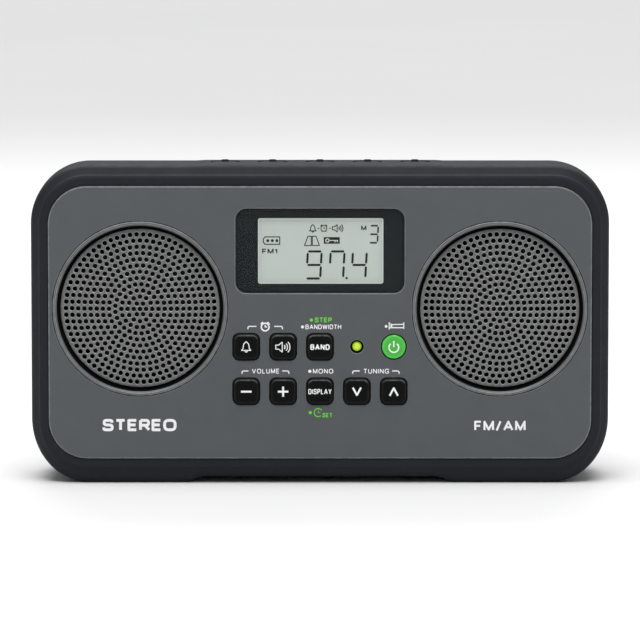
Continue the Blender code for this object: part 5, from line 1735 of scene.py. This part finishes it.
CAMERA_DISTANCE = 2.4
CAMERA_ELEVATION = 6.1
FRAME_WIDTH = 0.2895
SENSOR = 36.0
AIM_LIFT = -0.0021
LAMP_AIM = Vector((0.0, 0.0, 0.07))
SUN_ENERGY = 1.9
SUN_ANGLE = 50
SUN_FROM = (-0.05, -0.2, 1.0)
# Each lamp as its name, its size, its power and its place, in metres and watts.
LAMPS = (
    ("front_fill", (1.6, 1.0), 26.0, (-0.1, -1.6, 2.4)),
    ("back_top", (1.4, 0.6), 14.0, (0.0, 1.3, 1.3)),
    ("side_fill", (1.2, 1.2), 2.0, (1.6, -1.2, 1.2)),
)
# The backdrop's colour at two heights.
SKY = ((0.06, (0.38, 0.38, 0.385, 1.0)), (0.35, (0.4, 0.4, 0.41, 1.0)))
FLOOR_Z = -0.02
FLOOR_RINGS = (30000.0, 3000.0, 400.0)


def make_camera():
    low, high = (Vector(corner) for corner in CAD_BOUNDS)
    target = Vector(((low.x + high.x) / 2, (low.y + high.y) / 2, PANEL_Z * MM + AIM_LIFT))
    angle = math.radians(CAMERA_ELEVATION)
    data = bpy.data.cameras.new("camera")
    data.sensor_width = SENSOR
    data.lens = SENSOR * (CAMERA_DISTANCE - target.y - abs(FACE_Y) * MM) / FRAME_WIDTH
    data.clip_end = 100.0
    camera = bpy.data.objects.new("camera", data)
    camera.location = target + CAMERA_DISTANCE * Vector((0.0, -math.cos(angle), math.sin(angle)))
    camera.rotation_euler = (math.radians(90 - CAMERA_ELEVATION), 0.0, 0.0)
    bpy.context.scene.collection.objects.link(camera)
    bpy.context.scene.camera = camera


def place_light(data, place, direction):
    """Puts a light in the scene. It shines against the direction."""
    lamp = bpy.data.objects.new(data.name, data)
    lamp.location = place
    lamp.rotation_euler = Vector(direction).to_track_quat("Z", "Y").to_euler()
    bpy.context.scene.collection.objects.link(lamp)


def make_surroundings():
    world = bpy.data.worlds.new("studio")
    bpy.context.scene.world = world
    world.use_nodes = True
    nodes, links = world.node_tree.nodes, world.node_tree.links
    where = nodes.new("ShaderNodeTexCoord")
    split = nodes.new("ShaderNodeSeparateXYZ")
    ramp = nodes.new("ShaderNodeValToRGB")
    for element, (position, colour) in zip(ramp.color_ramp.elements, SKY):
        element.position = position
        element.color = colour
    links.new(where.outputs["Generated"], split.inputs["Vector"])
    links.new(split.outputs["Z"], ramp.inputs["Fac"])
    links.new(ramp.outputs["Color"], nodes["Background"].inputs["Color"])
    nodes["Background"].inputs["Strength"].default_value = 1.0
    floor = Shape()
    rings = [floor.ring([(x, y, FLOOR_Z) for x, y in circle(radius, steps=96)]) for radius in FLOOR_RINGS]
    floor.skin(rings)
    floor.face(rings[-1])
    item = new_object("floor", floor.mesh("floor"))
    item.data.materials.append(FINISHES["floor"])
    sun = bpy.data.lights.new("overhead", "SUN")
    sun.energy = SUN_ENERGY
    sun.angle = math.radians(SUN_ANGLE)
    place_light(sun, (0.0, 0.0, 0.0), SUN_FROM)
    for name, size, energy, place in LAMPS:
        data = bpy.data.lights.new(name, "AREA")
        data.shape = "RECTANGLE"
        data.size, data.size_y = size
        data.energy = energy
        place_light(data, place, Vector(place) - LAMP_AIM)


# ---- The whole radio ----


def refinish(node, name):
    """A better material on a CAD node that stays as it is."""
    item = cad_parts[node]
    if not item.material_slots:
        item.data.materials.append(None)
    for slot in item.material_slots:
        slot.link = "OBJECT"
        slot.material = FINISHES[name]


def build():
    scene = bpy.context.scene
    make_camera()
    scene.view_settings.view_transform = "Standard"
    make_surroundings()
    make_front_cabinet()
    make_panel_prints()
    make_square_keys()
    make_power_key()
    make_lens()
    make_presets()
    for side in SPEAKERS:
        make_grille(side)
        make_bezel(side)
    make_window()
    make_mask()
    make_lcd()
    make_bumper()
    make_rear_cabinet()
    make_screws()
    make_door()
    make_latch()
    make_sockets()
    make_cells()
    make_springs()
    make_bushing()
    make_swivel()
    make_rivet()
    for index in range(len(TUBE_OUTER)):
        make_tube(index)
    make_tip()
    for side in SPEAKERS:
        refinish(f"speaker_cone_{side}", "cone")
        # The frames take the painted-shade black, so the grille holes read dark.
        refinish(f"speaker_frame_{side}", "painted_shade")
        refinish(f"speaker_magnet_{side}", "steel")
    for node in ("key_board", "main_board"):
        refinish(node, "board")
    refinish("backlight_diffuser", "diffuser")
    refinish("ferrite_rod", "ferrite")
    refinish("ferrite_coil", "copper")
    refinish("battery_contact_plate", "steel")


build()
